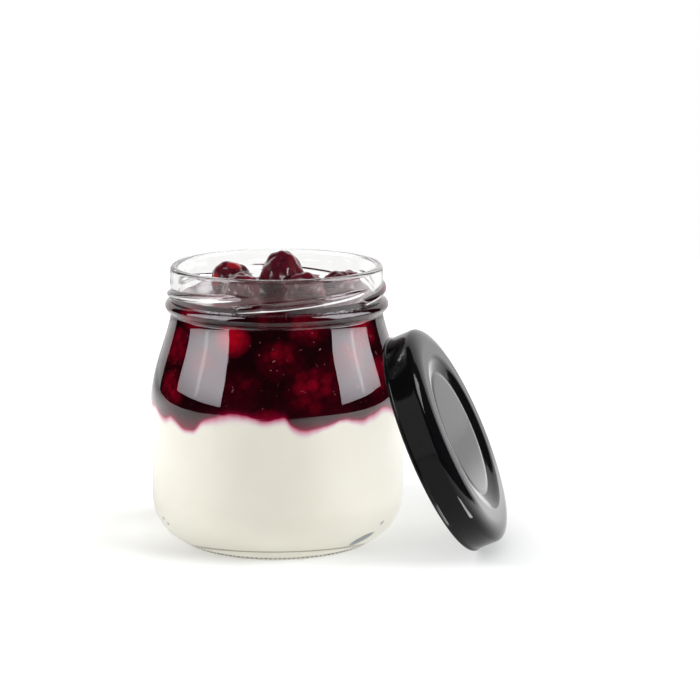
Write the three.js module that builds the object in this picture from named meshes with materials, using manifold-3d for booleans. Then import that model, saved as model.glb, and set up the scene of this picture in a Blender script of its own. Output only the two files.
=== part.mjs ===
// A round glass jar of yogurt under berry compote, open, with its twist-off cap leaning against it.
// Millimetres, +Z up. The jar is worked out about x = 0, y = 0, and the whole is centred at the end.
// Azimuths are in degrees, counted from the front, -Y, towards +X.
import * as THREE from "three";
import { mergeVertices } from "three/addons/utils/BufferGeometryUtils.js";
import Module from "manifold-3d";

const wasm = await Module();
wasm.setup();

// Glass, outside.
const JAR_HEIGHT = 83.3;
const BODY_RADIUS = 38.2;
const BODY_TOP = 42.5;
const WAIST_RADIUS = 31.95;
const WAIST_HEIGHT = 68.6;
const SHOULDER_HANDLE_LOW = 9;
const SHOULDER_HANDLE_HIGH = 6.1;
const SHOULDER_FLARE = 0.65;
const NECK_RADIUS = 31.9;
const RIM_WIDTH = 2.3;
const RING_HEIGHT = 71.3;
const RING_REACH = 1.6;
const RING_HALF_WIDTH = 1.9;
const HEEL_HEIGHT = 13.7;
const BEARING_OUTER = 26.5;
const BEARING_INNER = 24;
const PUNT_RADIUS = 20;
const PUNT_HEIGHT = 2.4;

// Glass, inside.
const WALL = 2.5;
const BORE_BOTTOM = 68;
const INNER_HEEL_HEIGHT = 10.7;
const INNER_HEEL_REACH = 10.5;
const FLOOR_EDGE_HEIGHT = 4.8;
const FLOOR_CROWN = 0.8;

// Thread: short right-hand beads, each starting below the end of the one before.
const THREAD_STARTS = 5;
const THREAD_FIRST_AZIMUTH = -18;
const THREAD_SPAN = 75;
const THREAD_HEIGHT = 74.6;
const THREAD_RISE = 3.4;
const THREAD_BEAD = 1.15;
const THREAD_BED = 31.8;
const THREAD_SINK = 0.9;
const BEAD_END_SHARPNESS = 6;

// Contents.
const GAP = 0.3;
const LAYER_LEVEL = 44.3;
const COMPOTE_LEVEL = 74.3;
const YOGURT_STRAIGHT_TOP = 32;
const COMPOTE_WALL_HEIGHTS = [51, 58, 64, 68];
const LAYER_RING_SHARES = [0.35, 0.7, 0.9];
const DRIP_SHARPNESS = 4;

// Drips of compote into the yogurt along the wall: azimuth, depth and half width in degrees.
const DRIPS = [
  [-61, 3.4, 5],
  [-43, 6, 7],
  [-4, 1.2, 5],
  [14, 4.1, 7],
  [26, 1.8, 8],
  [43, 2.9, 7],
  [73, 3.8, 7],
  [100, 2.2, 9],
  [128, 4.6, 8],
  [155, 2, 7],
  [179, 4, 9],
  [206, 2.4, 7],
  [232, 4.8, 8],
  [262, 3, 9],
  [283, 2.4, 7],
];

// Berries that stand out of the compote: name, x, y, centre height, radius, length over width,
// and how far the berry's own length leans from upright and towards which azimuth.
const BERRIES = [
  ["berry_crown", 1.7, 0, 78.3, 7.4, 1.27, 4, 200],
  ["berry_left", -13.4, 1, 77.4, 6.3, 1.12, 55, -80],
  ["berry_left_front", -10.2, -9.8, 76.6, 5.6, 1.1, 70, 30],
  ["berry_right_front", 8.2, -8.6, 76.3, 6, 1.1, 65, 60],
  ["berry_right", 18, 2, 76, 4.9, 1.12, 75, 80],
  ["berry_right_rear", 21.5, 10.5, 75.2, 4.4, 1.1, 60, 130],
  ["berry_rear", 0.6, 15, 75.6, 5.9, 1.12, 65, 170],
  ["berry_left_rear", -14, 14.5, 74.9, 4.9, 1.1, 60, -140],
];
const DRUPELETS = 30;
const DRUPELET_SHARE = 0.36;
const LARGE_BERRY = 7;
const POCKET_CLEARANCE = 0.5;

// Cap: a pressed sheet cap with a rolled edge, inward lugs and a sunk panel.
const CAP_RADIUS = 34.2;
const CAP_HEIGHT = 10.4;
const CAP_SHEET = 0.5;
const CAP_SKIRT_RADIUS = 33.9;
const CAP_SHOULDER = 2.6;
const CAP_CURL = 0.55;
const CAP_CURL_FROM = 140;
const CAP_CURL_TO = 420;
const CAP_LAND_INNER = 25.2;
const CAP_PANEL_RADIUS = 19.8;
const CAP_PANEL_SINK = 1.3;
const CAP_LUG_BED = 32.95;
const CAP_LUG_BEAD = 0.85;
const CAP_LUG_HEIGHT = 0.95;
const CAP_LUG_SPAN = 16;
const CAP_LUG_SINK = -0.55;

// Cap at rest: its rolled edge stands on the floor and leans on the jar's shoulder.
const CAP_ELEVATION = 24.7;
const CAP_TOWARDS_FRONT = 10.4;
const CAP_X = 46.64;
const CAP_Y = -12.66;

// Fineness of the facets.
const JAR_SEGMENTS = 48;
const CONTENTS_SEGMENTS = 48;
const CAP_SEGMENTS = 40;
const PUNT_STEPS = 3;
const HEEL_STEPS = 6;
const SHOULDER_STEPS = 6;
const RING_STEPS = 6;
const RIM_STEPS = 4;
const INNER_HEEL_STEPS = 4;
const CAP_SHOULDER_STEPS = 3;
const CAP_CURL_STEPS = 5;
const BEAD_SIDES = 8;
const BEAD_STEPS = 10;
const LUG_STEPS = 3;
const POCKET_DETAIL = 2;
const SMALL_BERRY_DETAIL = 3;
const LARGE_BERRY_DETAIL = 4;
const MERGE_DISTANCE = 1e-4;

const radians = THREE.MathUtils.degToRad;

// A horizontal place at a radius and an azimuth.
function around(radius, azimuth, z) {
  const angle = radians(azimuth);
  return new THREE.Vector3(radius * Math.sin(angle), -radius * Math.cos(angle), z);
}

// Profile points are (radius, height) pairs.
function at(radius, z) {
  return new THREE.Vector2(radius, z);
}

// Points along a stretch of an ellipse in a profile.
function arc(centre, reach, rise, from, to, steps) {
  const { x, y } = centre;
  const curve = new THREE.EllipseCurve(x, y, reach, rise, radians(from), radians(to), from > to);
  return curve.getPoints(steps);
}

// The shoulder's S curve from the body up to the neck.
function shoulder(bodyRadius, neckRadius, neckHeight) {
  const curve = new THREE.CubicBezierCurve(
    at(bodyRadius, BODY_TOP),
    at(bodyRadius, BODY_TOP + SHOULDER_HANDLE_LOW),
    at(neckRadius + SHOULDER_FLARE, neckHeight - SHOULDER_HANDLE_HIGH),
    at(neckRadius, neckHeight),
  );
  return curve.getPoints(SHOULDER_STEPS);
}

// The radius of a profile at a height, between its points.
function radiusAt(profile, z) {
  for (let i = 1; i < profile.length; i++) {
    const low = profile[i - 1];
    const high = profile[i];
    if (z >= low.y && z <= high.y && high.y > low.y)
      return THREE.MathUtils.mapLinear(z, low.y, high.y, low.x, high.x);
  }
  throw new Error("the profile doesn't reach height " + z);
}

// A closed mesh as a solid for joining and cutting.
function solidOf(geometry) {
  const bare = geometry.clone();
  bare.deleteAttribute("normal");
  bare.deleteAttribute("uv");
  const merged = mergeVertices(bare, MERGE_DISTANCE);
  const vertProperties = merged.attributes.position.array;
  const triVerts = new Uint32Array(merged.index.array);
  return new wasm.Manifold(new wasm.Mesh({ numProp: 3, vertProperties, triVerts }));
}

// A solid as a mesh geometry with flat facets.
function geometryOf(solid) {
  const { vertProperties, triVerts } = solid.getMesh();
  const geometry = new THREE.BufferGeometry();
  geometry.setAttribute("position", new THREE.BufferAttribute(vertProperties, 3));
  geometry.setIndex(new THREE.BufferAttribute(triVerts, 1));
  geometry.computeVertexNormals();
  return geometry;
}

// A profile that starts and ends on the axis, turned about +Z.
function turned(profile, segments) {
  return new THREE.LatheGeometry(profile, segments).rotateX(Math.PI / 2);
}

// A path round the axis that climbs from its start and runs into the wall at both ends.
class BeadPath extends THREE.Curve {
  constructor(bed, height, azimuth, span, rise, sink) {
    super();
    Object.assign(this, { bed, height, azimuth, span, rise, sink });
  }

  getPoint(share) {
    const dip = this.sink * (2 * share - 1) ** BEAD_END_SHARPNESS;
    return around(this.bed - dip, this.azimuth + this.span * share, this.height + this.rise * share);
  }
}

// A round bead along such a path.
function bead(path, radius, steps) {
  const section = new THREE.Shape();
  for (let side = 0; side < BEAD_SIDES; side++) {
    const angle = (2 * Math.PI * side) / BEAD_SIDES;
    const x = radius * Math.cos(angle);
    const y = radius * Math.sin(angle);
    if (side === 0) section.moveTo(x, y);
    else section.lineTo(x, y);
  }
  section.closePath();
  return new THREE.ExtrudeGeometry(section, { steps, extrudePath: path, bevelEnabled: false });
}

// A closed body of rings. Each ring gives radius and height at an azimuth, from bottom pole to top.
// A face that two bodies share is split the same way on both, whether its rings widen or narrow.
function ringBody(bottom, rings, top, segments) {
  const positions = [0, 0, bottom];
  for (const ring of rings)
    for (let s = 0; s < segments; s++) {
      const azimuth = (360 * s) / segments;
      const { x: radius, y: z } = ring(azimuth);
      positions.push(...around(radius, azimuth, z).toArray());
    }
  positions.push(0, 0, top);
  const corner = (ring, s) => 1 + ring * segments + (s % segments);
  const last = rings.length - 1;
  const narrows = rings.slice(1).map((ring, i) => ring(0).x < rings[i](0).x);
  const topPole = 1 + rings.length * segments;
  const index = [];
  for (let s = 0; s < segments; s++) {
    index.push(0, corner(0, s + 1), corner(0, s));
    for (let ring = 0; ring < last; ring++) {
      const [a, b] = [corner(ring, s), corner(ring, s + 1)];
      const [c, d] = [corner(ring + 1, s + 1), corner(ring + 1, s)];
      index.push(...(narrows[ring] ? [a, b, d, b, c, d] : [a, b, c, a, c, d]));
    }
    index.push(topPole, corner(last, s), corner(last, s + 1));
  }
  const geometry = new THREE.BufferGeometry();
  geometry.setAttribute("position", new THREE.Float32BufferAttribute(positions, 3));
  geometry.setIndex(index);
  return geometry;
}

// Glass.

const innerRadius = BODY_RADIUS - WALL;
const boreRadius = NECK_RADIUS - RIM_WIDTH;
const innerHeelTop = FLOOR_EDGE_HEIGHT + INNER_HEEL_HEIGHT;
const floorEdge = innerRadius - INNER_HEEL_REACH;
const floorCentre = FLOOR_EDGE_HEIGHT + FLOOR_CROWN;

const rimRounding = RIM_WIDTH / 2;
const rimCentre = at(NECK_RADIUS - rimRounding, JAR_HEIGHT - rimRounding);
const punt = new THREE.QuadraticBezierCurve(
  at(PUNT_RADIUS, PUNT_HEIGHT),
  at(BEARING_INNER, PUNT_HEIGHT),
  at(BEARING_INNER, 0),
);
const outerWall = [
  at(0, PUNT_HEIGHT),
  ...punt.getPoints(PUNT_STEPS),
  ...arc(at(BEARING_OUTER, HEEL_HEIGHT), BODY_RADIUS - BEARING_OUTER, HEEL_HEIGHT, -90, 0, HEEL_STEPS),
  ...shoulder(BODY_RADIUS, WAIST_RADIUS, WAIST_HEIGHT),
  ...arc(at(WAIST_RADIUS, RING_HEIGHT), RING_REACH, RING_HALF_WIDTH, -90, 90, RING_STEPS),
  ...arc(rimCentre, rimRounding, rimRounding, 0, 180, RIM_STEPS),
];
const innerHeelCentre = at(floorEdge, innerHeelTop);
const innerWall = [
  ...arc(innerHeelCentre, INNER_HEEL_REACH, INNER_HEEL_HEIGHT, -90, 0, INNER_HEEL_STEPS),
  ...shoulder(innerRadius, boreRadius, BORE_BOTTOM),
];

function glassJar() {
  const profile = [...outerWall, ...innerWall.toReversed(), at(0, floorCentre)];
  let solid = solidOf(turned(profile, JAR_SEGMENTS));
  for (let start = 0; start < THREAD_STARTS; start++) {
    const azimuth = THREAD_FIRST_AZIMUTH + (360 * start) / THREAD_STARTS;
    const path = new BeadPath(THREAD_BED, THREAD_HEIGHT, azimuth, THREAD_SPAN, THREAD_RISE, THREAD_SINK);
    solid = solid.add(solidOf(bead(path, THREAD_BEAD, BEAD_STEPS)));
  }
  return geometryOf(solid);
}

// Yogurt and compote.

// Contents stand off the glass by the gap.
function contentsRadius(z) {
  return radiusAt([...innerWall, rimCentre.clone().setX(boreRadius)], z) - GAP;
}

// The height of the layer line at the wall, lowered by each drip.
function layerEdge(azimuth) {
  let z = LAYER_LEVEL;
  for (const [centre, depth, halfWidth] of DRIPS) {
    const away = THREE.MathUtils.euclideanModulo(azimuth - centre + 180, 360) - 180;
    z -= depth * Math.exp(-((away / halfWidth) ** 2));
  }
  return z;
}

// The same line inside the jar, where the drips fade out.
function layerHeight(azimuth, share) {
  return LAYER_LEVEL + (layerEdge(azimuth) - LAYER_LEVEL) * share ** DRIP_SHARPNESS;
}

// A ring of the layer face at a share of the wall's radius, moved up or down by an offset.
function layerRing(share, offset) {
  return (azimuth) => {
    const wall = contentsRadius(layerEdge(azimuth) + offset);
    return at(wall * share, layerHeight(azimuth, share) + offset);
  };
}

function wallRing(z) {
  return () => at(contentsRadius(z), z);
}

function yogurt() {
  const [reach, rise] = [INNER_HEEL_REACH - GAP, INNER_HEEL_HEIGHT - GAP];
  const heel = arc(innerHeelCentre, reach, rise, -90, 0, INNER_HEEL_STEPS);
  const rings = [
    ...heel.map((point) => () => point),
    wallRing(YOGURT_STRAIGHT_TOP),
    layerRing(1, -GAP / 2),
    ...LAYER_RING_SHARES.toReversed().map((share) => layerRing(share, -GAP / 2)),
  ];
  return ringBody(floorCentre + GAP, rings, LAYER_LEVEL - GAP / 2, CONTENTS_SEGMENTS);
}

// A ball pulled out to a range in each direction, then stretched, leant over and set in its place.
function berryBody([, x, y, z, , stretch, lean, azimuth], detail, range) {
  const geometry = new THREE.IcosahedronGeometry(1, detail);
  const position = geometry.attributes.position;
  const direction = new THREE.Vector3();
  for (let i = 0; i < position.count; i++) {
    direction.fromBufferAttribute(position, i).normalize();
    direction.multiplyScalar(range(direction));
    position.setXYZ(i, direction.x, direction.y * stretch, direction.z);
  }
  const axis = around(Math.sin(radians(lean)), azimuth, Math.cos(radians(lean)));
  geometry.applyQuaternion(new THREE.Quaternion().setFromUnitVectors(THREE.Object3D.DEFAULT_UP, axis));
  return solidOf(geometry.translate(x, y, z));
}

// A berry's surface is the outside of its drupelets, small balls spread evenly over its core.
function berrySolid(berry, growth) {
  const [, , , , radius] = berry;
  const reach = 1 - DRUPELET_SHARE;
  const goldenAngle = Math.PI * (3 - Math.sqrt(5));
  const drupelets = Array.from({ length: DRUPELETS }, (_, i) => {
    const height = 1 - (2 * i + 1) / DRUPELETS;
    return new THREE.Vector3().setFromSphericalCoords(reach, Math.acos(height), goldenAngle * i);
  });
  const outermost = (direction) => {
    const ranges = drupelets.map((drupelet) => {
      const along = drupelet.dot(direction);
      return along + Math.sqrt(Math.max(0, DRUPELET_SHARE ** 2 - reach ** 2 + along ** 2));
    });
    return radius * Math.max(...ranges) + growth;
  };
  return berryBody(berry, radius > LARGE_BERRY ? LARGE_BERRY_DETAIL : SMALL_BERRY_DETAIL, outermost);
}

// The smooth pocket that a berry leaves in the compote, clear of its drupelets.
function pocketSolid(berry) {
  const [, , , , radius] = berry;
  return berryBody(berry, POCKET_DETAIL, () => radius + POCKET_CLEARANCE);
}

// Each berry is cut clear of the berries placed before it.
function berrySolids() {
  const placed = [];
  return BERRIES.map((berry) => {
    let solid = berrySolid(berry, 0);
    for (const neighbour of placed) solid = solid.subtract(neighbour);
    placed.push(berrySolid(berry, GAP));
    return solid;
  });
}

// The compote fills the jar from the layer line to its level, cut clear of the berries in it.
function compote() {
  const rings = [
    ...LAYER_RING_SHARES.map((share) => layerRing(share, GAP / 2)),
    layerRing(1, GAP / 2),
    ...COMPOTE_WALL_HEIGHTS.map(wallRing),
    wallRing(COMPOTE_LEVEL),
  ];
  let solid = solidOf(ringBody(LAYER_LEVEL + GAP / 2, rings, COMPOTE_LEVEL, CONTENTS_SEGMENTS));
  for (const berry of BERRIES) solid = solid.subtract(pocketSolid(berry));
  return geometryOf(solid);
}

// Cap, upright on its open edge.

function cap() {
  const curlCentre = at(CAP_RADIUS - CAP_CURL, CAP_CURL);
  const shoulderCentre = at(CAP_SKIRT_RADIUS - CAP_SHOULDER, CAP_HEIGHT - CAP_SHOULDER);
  const panelHeight = CAP_HEIGHT - CAP_PANEL_SINK;
  const innerShoulder = CAP_SHOULDER - CAP_SHEET;
  const stepMiddle = (CAP_LAND_INNER + CAP_PANEL_RADIUS) / 2;
  const stepSlope = CAP_SHEET / 2;
  const profile = [
    at(0, panelHeight - CAP_SHEET),
    at(CAP_PANEL_RADIUS, panelHeight - CAP_SHEET),
    at(stepMiddle + stepSlope, CAP_HEIGHT - CAP_PANEL_SINK / 2 - CAP_SHEET),
    at(CAP_LAND_INNER, CAP_HEIGHT - CAP_SHEET),
    ...arc(shoulderCentre, innerShoulder, innerShoulder, 90, 0, CAP_SHOULDER_STEPS),
    ...arc(curlCentre, CAP_CURL, CAP_CURL, CAP_CURL_FROM, CAP_CURL_TO, CAP_CURL_STEPS),
    ...arc(shoulderCentre, CAP_SHOULDER, CAP_SHOULDER, 0, 90, CAP_SHOULDER_STEPS),
    at(CAP_LAND_INNER, CAP_HEIGHT),
    at(stepMiddle, CAP_HEIGHT - CAP_PANEL_SINK / 2),
    at(CAP_PANEL_RADIUS, panelHeight),
    at(0, panelHeight),
  ];
  let solid = solidOf(turned(profile, CAP_SEGMENTS));
  for (let start = 0; start < THREAD_STARTS; start++) {
    const azimuth = (360 * start) / THREAD_STARTS;
    const path = new BeadPath(CAP_LUG_BED, CAP_LUG_HEIGHT, azimuth, CAP_LUG_SPAN, 0, CAP_LUG_SINK);
    solid = solid.add(solidOf(bead(path, CAP_LUG_BEAD, LUG_STEPS)));
  }
  return geometryOf(solid);
}

// The cap's axis, out of its top, and the middle of its open edge with the rolled edge on the floor.
function leanCap(mesh) {
  const level = Math.cos(radians(CAP_ELEVATION));
  const turn = radians(CAP_TOWARDS_FRONT);
  const rise = Math.sin(radians(CAP_ELEVATION));
  const axis = new THREE.Vector3(level * Math.cos(turn), -level * Math.sin(turn), rise);
  const z = (CAP_RADIUS - CAP_CURL) * level + CAP_CURL * (1 - rise);
  mesh.quaternion.setFromUnitVectors(new THREE.Vector3(0, 0, 1), axis);
  mesh.position.set(CAP_X, CAP_Y, z);
}

// Finishes and assembly.

function finish(color, roughness, options = {}) {
  return new THREE.MeshStandardMaterial({ color, roughness, metalness: 0, ...options });
}

function named(name, geometry, material) {
  const mesh = new THREE.Mesh(geometry, material);
  mesh.name = name;
  return mesh;
}

const jar = new THREE.Group();
jar.add(named("glass_jar", glassJar(), finish("#e9eeee", 0.04, { transparent: true, opacity: 0.35 })));
jar.add(named("yogurt", yogurt(), finish("#e6e1d6", 0.5)));
jar.add(named("compote", compote(), finish("#3a050d", 0.15)));
berrySolids().forEach((solid, i) => {
  jar.add(named(BERRIES[i][0], geometryOf(solid), finish("#5b0a16", 0.2)));
});
const lid = named("lid", cap(), finish("#0b0b0c", 0.18));
leanCap(lid);
jar.add(lid);

// The origin is under the middle of the whole, on the floor.
const middle = new THREE.Box3().setFromObject(jar, true).getCenter(new THREE.Vector3());
for (const mesh of jar.children) mesh.position.sub(new THREE.Vector3(middle.x, middle.y, 0));

export default jar;
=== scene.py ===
"""Round glass jar of yogurt under berry compote, its black twist-off cap leaning on it.

Sizes in the classes are millimetres in the jar's own frame: its axis is x = 0, y = 0, and z = 0 is the floor.
Azimuths are degrees from the front, -Y, towards +X. Meshes are made in metres, in the frame of the solids.
"""

import logging
import math
from dataclasses import dataclass, field
from enum import Enum
from functools import reduce
from typing import Any, Optional, Sequence

import bmesh
import bpy
import numpy as np
from mathutils import Euler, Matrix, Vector


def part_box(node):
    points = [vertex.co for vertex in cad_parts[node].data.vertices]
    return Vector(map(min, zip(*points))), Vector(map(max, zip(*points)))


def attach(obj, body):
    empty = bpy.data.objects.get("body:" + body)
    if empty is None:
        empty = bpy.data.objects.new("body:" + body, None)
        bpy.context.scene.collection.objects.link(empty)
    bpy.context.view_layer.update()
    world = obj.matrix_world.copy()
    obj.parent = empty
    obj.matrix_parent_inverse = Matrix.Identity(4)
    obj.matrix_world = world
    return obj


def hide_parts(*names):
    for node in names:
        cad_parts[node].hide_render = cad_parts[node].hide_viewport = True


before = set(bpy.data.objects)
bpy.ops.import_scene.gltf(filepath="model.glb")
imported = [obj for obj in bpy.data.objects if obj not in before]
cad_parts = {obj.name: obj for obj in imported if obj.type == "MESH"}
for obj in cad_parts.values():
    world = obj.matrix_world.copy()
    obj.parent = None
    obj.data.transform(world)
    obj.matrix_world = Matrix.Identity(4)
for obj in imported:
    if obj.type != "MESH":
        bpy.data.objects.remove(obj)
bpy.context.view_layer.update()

log = logging.getLogger("jar")
MM = 0.001
Array = np.ndarray
Pair = tuple[float, float]
Triple = tuple[float, float, float]


# Points and meshes.


def jar_axis() -> Array:
    """The foot of the jar's axis in the frame of the solids, in metres."""
    low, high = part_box("glass_jar")
    return np.array([(low.x + high.x) / 2, (low.y + high.y) / 2, 0.0])


AXIS = jar_axis()


def azimuths(columns: int) -> Array:
    """Azimuths spread evenly all round."""
    return np.arange(columns) * 360 / columns


def around(radius: Any, height: Any, azimuth: Array) -> Array:
    """Points at a radius, a height and an azimuth, with x, y and z in the last place."""
    angle = np.radians(azimuth)
    return np.stack(np.broadcast_arrays(radius * np.sin(angle), -radius * np.cos(angle), height), -1)


def smooth_max(a: Array, b: Array, blend: float) -> Array:
    """The larger of two heights, with a fillet where they differ by less than blend."""
    near = np.maximum(blend - np.abs(a - b), 0) / blend
    return np.maximum(a, b) + near * near * blend / 4


def ease(share: Array) -> Array:
    """A share held between zero and one and eased at both ends."""
    share = np.clip(share, 0, 1)
    return share * share * (3 - 2 * share)


def ellipse_arc(centre: Pair, reach: float, rise: float, span: Pair, steps: int) -> Array:
    """Radius and height of points along an ellipse, between two angles in degrees."""
    angle = np.radians(np.linspace(*span, steps))
    return np.stack([centre[0] + reach * np.cos(angle), centre[1] + rise * np.sin(angle)], 1)


def bezier(corners: Sequence[Pair], steps: int) -> Array:
    """Radius and height of points along a Bezier curve of any order.

    Args:
        corners: Control points.
        steps: Number of points.

    Returns:
        The points.
    """
    share = np.linspace(0, 1, steps)[:, None]
    order = len(corners) - 1
    weights = [math.comb(order, i) * share**i * (1 - share) ** (order - i) for i in range(order + 1)]
    return sum(weight * np.array(corner) for weight, corner in zip(weights, corners))


def stack_rings(rows: Sequence[Any], columns: int) -> list[Array]:
    """Radius and height of each point, from one or many values of both for each ring."""
    return [np.array([np.broadcast_to(row[part], columns) for row in rows], float) for part in (0, 1)]


def turned_faces(rows: int, columns: int) -> list[tuple[int, ...]]:
    """Faces of a closed turned body: a pole, rings of points and a last pole.

    Args:
        rows: Number of rings.
        columns: Points in each ring.

    Returns:
        The faces, the fan of the first pole first, then ring by ring, then the last fan.
    """
    step = np.arange(columns)
    after = (step + 1) % columns
    faces: list[tuple[int, ...]] = [(0, 1 + int(b), 1 + int(a)) for a, b in zip(step, after)]
    for row in range(rows - 1):
        low = 1 + row * columns
        high = low + columns
        corners = (low + step, low + after, high + after, high + step)
        faces.extend(zip(*(corner.tolist() for corner in corners)))
    last = 1 + (rows - 1) * columns
    pole = 1 + rows * columns
    faces.extend((pole, last + int(a), last + int(b)) for a, b in zip(step, after))
    return faces


def make_object(name: str, points: Array, faces: Sequence[Sequence[int]]) -> bpy.types.Object:
    """A smooth mesh object from points in the jar's frame.

    Args:
        name: Name of the piece.
        points: Points in millimetres.
        faces: Corner numbers of each face.

    Returns:
        The object, linked to the scene.
    """
    mesh = bpy.data.meshes.new(name)
    mesh.from_pydata((np.asarray(points) * MM + AXIS).tolist(), [], faces)
    mesh.polygons.foreach_set("use_smooth", np.ones(len(mesh.polygons), bool))
    mesh.update()
    piece = bpy.data.objects.new(name, mesh)
    bpy.context.scene.collection.objects.link(piece)
    return piece


def turned(
    name: str, radius: Array, height: Array, poles: Pair, lean: Array = np.eye(3), place: Triple = (0.0, 0.0, 0.0)
) -> bpy.types.Object:
    """A closed turned body.

    Args:
        name: Name of the piece.
        radius: Radius of each point, a row for each ring.
        height: Height of each point, of the same shape.
        poles: Heights of the first and the last pole.
        lean: Turn of the whole body.
        place: Where its axis starts.

    Returns:
        The body.
    """
    rows, columns = radius.shape
    rings = around(radius, height, azimuths(columns)).reshape(-1, 3)
    points = np.concatenate([[(0, 0, poles[0])], rings, [(0, 0, poles[1])]])
    return make_object(name, points @ lean.T + place, turned_faces(rows, columns))


def set_values(piece: bpy.types.Object, name: str, values: Array, poles: Sequence[float] = ()) -> None:
    """Stores one number for each point of a piece as a named attribute, which its finish reads.

    Args:
        piece: The piece.
        name: Name of the attribute.
        values: One number a point.
        poles: Numbers of the first and the last pole of a turned body.
    """
    attribute = piece.data.attributes.new(name, "FLOAT", "POINT")
    values = np.concatenate([poles[:1], np.ravel(values), poles[1:]])
    attribute.data.foreach_set("value", values.astype(np.float32))


def even_directions(count: int) -> Array:
    """Unit vectors spread evenly over a ball, with +Y as its pole.

    Args:
        count: Number of directions.

    Returns:
        The directions.
    """
    number = np.arange(count)
    height = 1 - (2 * number + 1) / count
    turn = math.pi * (3 - math.sqrt(5)) * number
    level = np.sqrt(1 - height**2)
    return np.stack([level * np.sin(turn), height, level * np.cos(turn)], 1)


# Nodes.


class Bench:
    """Adds nodes to a tree and joins them."""

    def __init__(self, tree: bpy.types.NodeTree) -> None:
        """Takes the tree to work on."""
        self.tree = tree

    def add(self, kind: str, inputs: Optional[dict[Any, Any]] = None, **settings: Any) -> bpy.types.Node:
        """Adds a node.

        Args:
            kind: Type of the node.
            inputs: For each input, a socket to join or a value.
            settings: Properties of the node.

        Returns:
            The node.
        """
        node = self.tree.nodes.new(kind)
        for key, value in settings.items():
            setattr(node, key, value)
        for key, value in (inputs or {}).items():
            if isinstance(value, bpy.types.NodeSocket):
                self.tree.links.new(value, node.inputs[key])
            else:
                node.inputs[key].default_value = value
        return node

    def math(self, operation: str, a: Any, b: Any = 0.0) -> bpy.types.NodeSocket:
        """The result of a sum on two sockets or numbers."""
        return self.add("ShaderNodeMath", {0: a, 1: b}, operation=operation).outputs[0]

    def times(self, *values: Any) -> Any:
        """The product of sockets and numbers."""
        return reduce(lambda a, b: self.math("MULTIPLY", a, b), values)

    def plus(self, *values: Any) -> Any:
        """The sum of sockets and numbers."""
        return reduce(lambda a, b: self.math("ADD", a, b), values)

    def vector(self, operation: str, *values: Any) -> bpy.types.NodeSocket:
        """The result of a sum on vectors."""
        node = self.add("ShaderNodeVectorMath", dict(enumerate(values)), operation=operation)
        return node.outputs["Value" if operation == "LENGTH" else "Vector"]

    def share(self, value: Any, start: float, end: float) -> bpy.types.NodeSocket:
        """How far a value has gone from a start to an end, from zero to one."""
        return self.add("ShaderNodeMapRange", {"Value": value, "From Min": start, "From Max": end}).outputs[0]

    def feed(self, source: bpy.types.NodeSocket, node: bpy.types.Node, *sockets: str) -> None:
        """Joins an output to some inputs of a node."""
        for socket in sockets:
            self.tree.links.new(source, node.inputs[socket])

    def mix(self, factor: Any, a: Any, b: Any) -> bpy.types.NodeSocket:
        """A colour between two colours."""
        return self.add("ShaderNodeMix", {"Factor": factor, 6: a, 7: b}, data_type="RGBA").outputs[2]

    def ramp(self, factor: Any, stops: Sequence[tuple[float, Triple]]) -> bpy.types.NodeSocket:
        """A colour read off a ramp.

        Args:
            factor: Place on the ramp.
            stops: Place and colour of each stop.

        Returns:
            The colour's socket.
        """
        node = self.add("ShaderNodeValToRGB", {"Fac": factor})
        elements = node.color_ramp.elements
        while len(elements) < len(stops):
            elements.new(0.5)
        for element, (place, colour) in zip(elements, stops):
            element.position = place
            element.color = (*colour, 1)
        return node.outputs[0]

    def value(self, name: str) -> bpy.types.NodeSocket:
        """A piece's own attribute as a number."""
        return self.add("ShaderNodeAttribute", attribute_name=name).outputs["Fac"]


def mottle_group() -> bpy.types.NodeTree:
    """The shared effect of soft unevenness: a mask and a fine height, both on Object coordinates.

    Returns:
        The group, made on first use.
    """
    group = bpy.data.node_groups.get("mottle")
    if group:
        return group
    group = bpy.data.node_groups.new("mottle", "ShaderNodeTree")
    for name, start in (("Scale", 100.0), ("Fine Scale", 900.0)):
        group.interface.new_socket(name, in_out="INPUT", socket_type="NodeSocketFloat").default_value = start
    for name in ("Mask", "Height"):
        group.interface.new_socket(name, in_out="OUTPUT", socket_type="NodeSocketFloat")
    bench = Bench(group)
    given = bench.add("NodeGroupInput").outputs
    place = bench.add("ShaderNodeTexCoord").outputs["Object"]
    coarse = bench.add("ShaderNodeTexNoise", {"Vector": place, "Scale": given["Scale"], "Detail": 3.0})
    fine = bench.add("ShaderNodeTexNoise", {"Vector": place, "Scale": given["Fine Scale"], "Detail": 2.0})
    bench.add("NodeGroupOutput", {"Mask": coarse.outputs[0], "Height": fine.outputs[0]})
    return group


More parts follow.
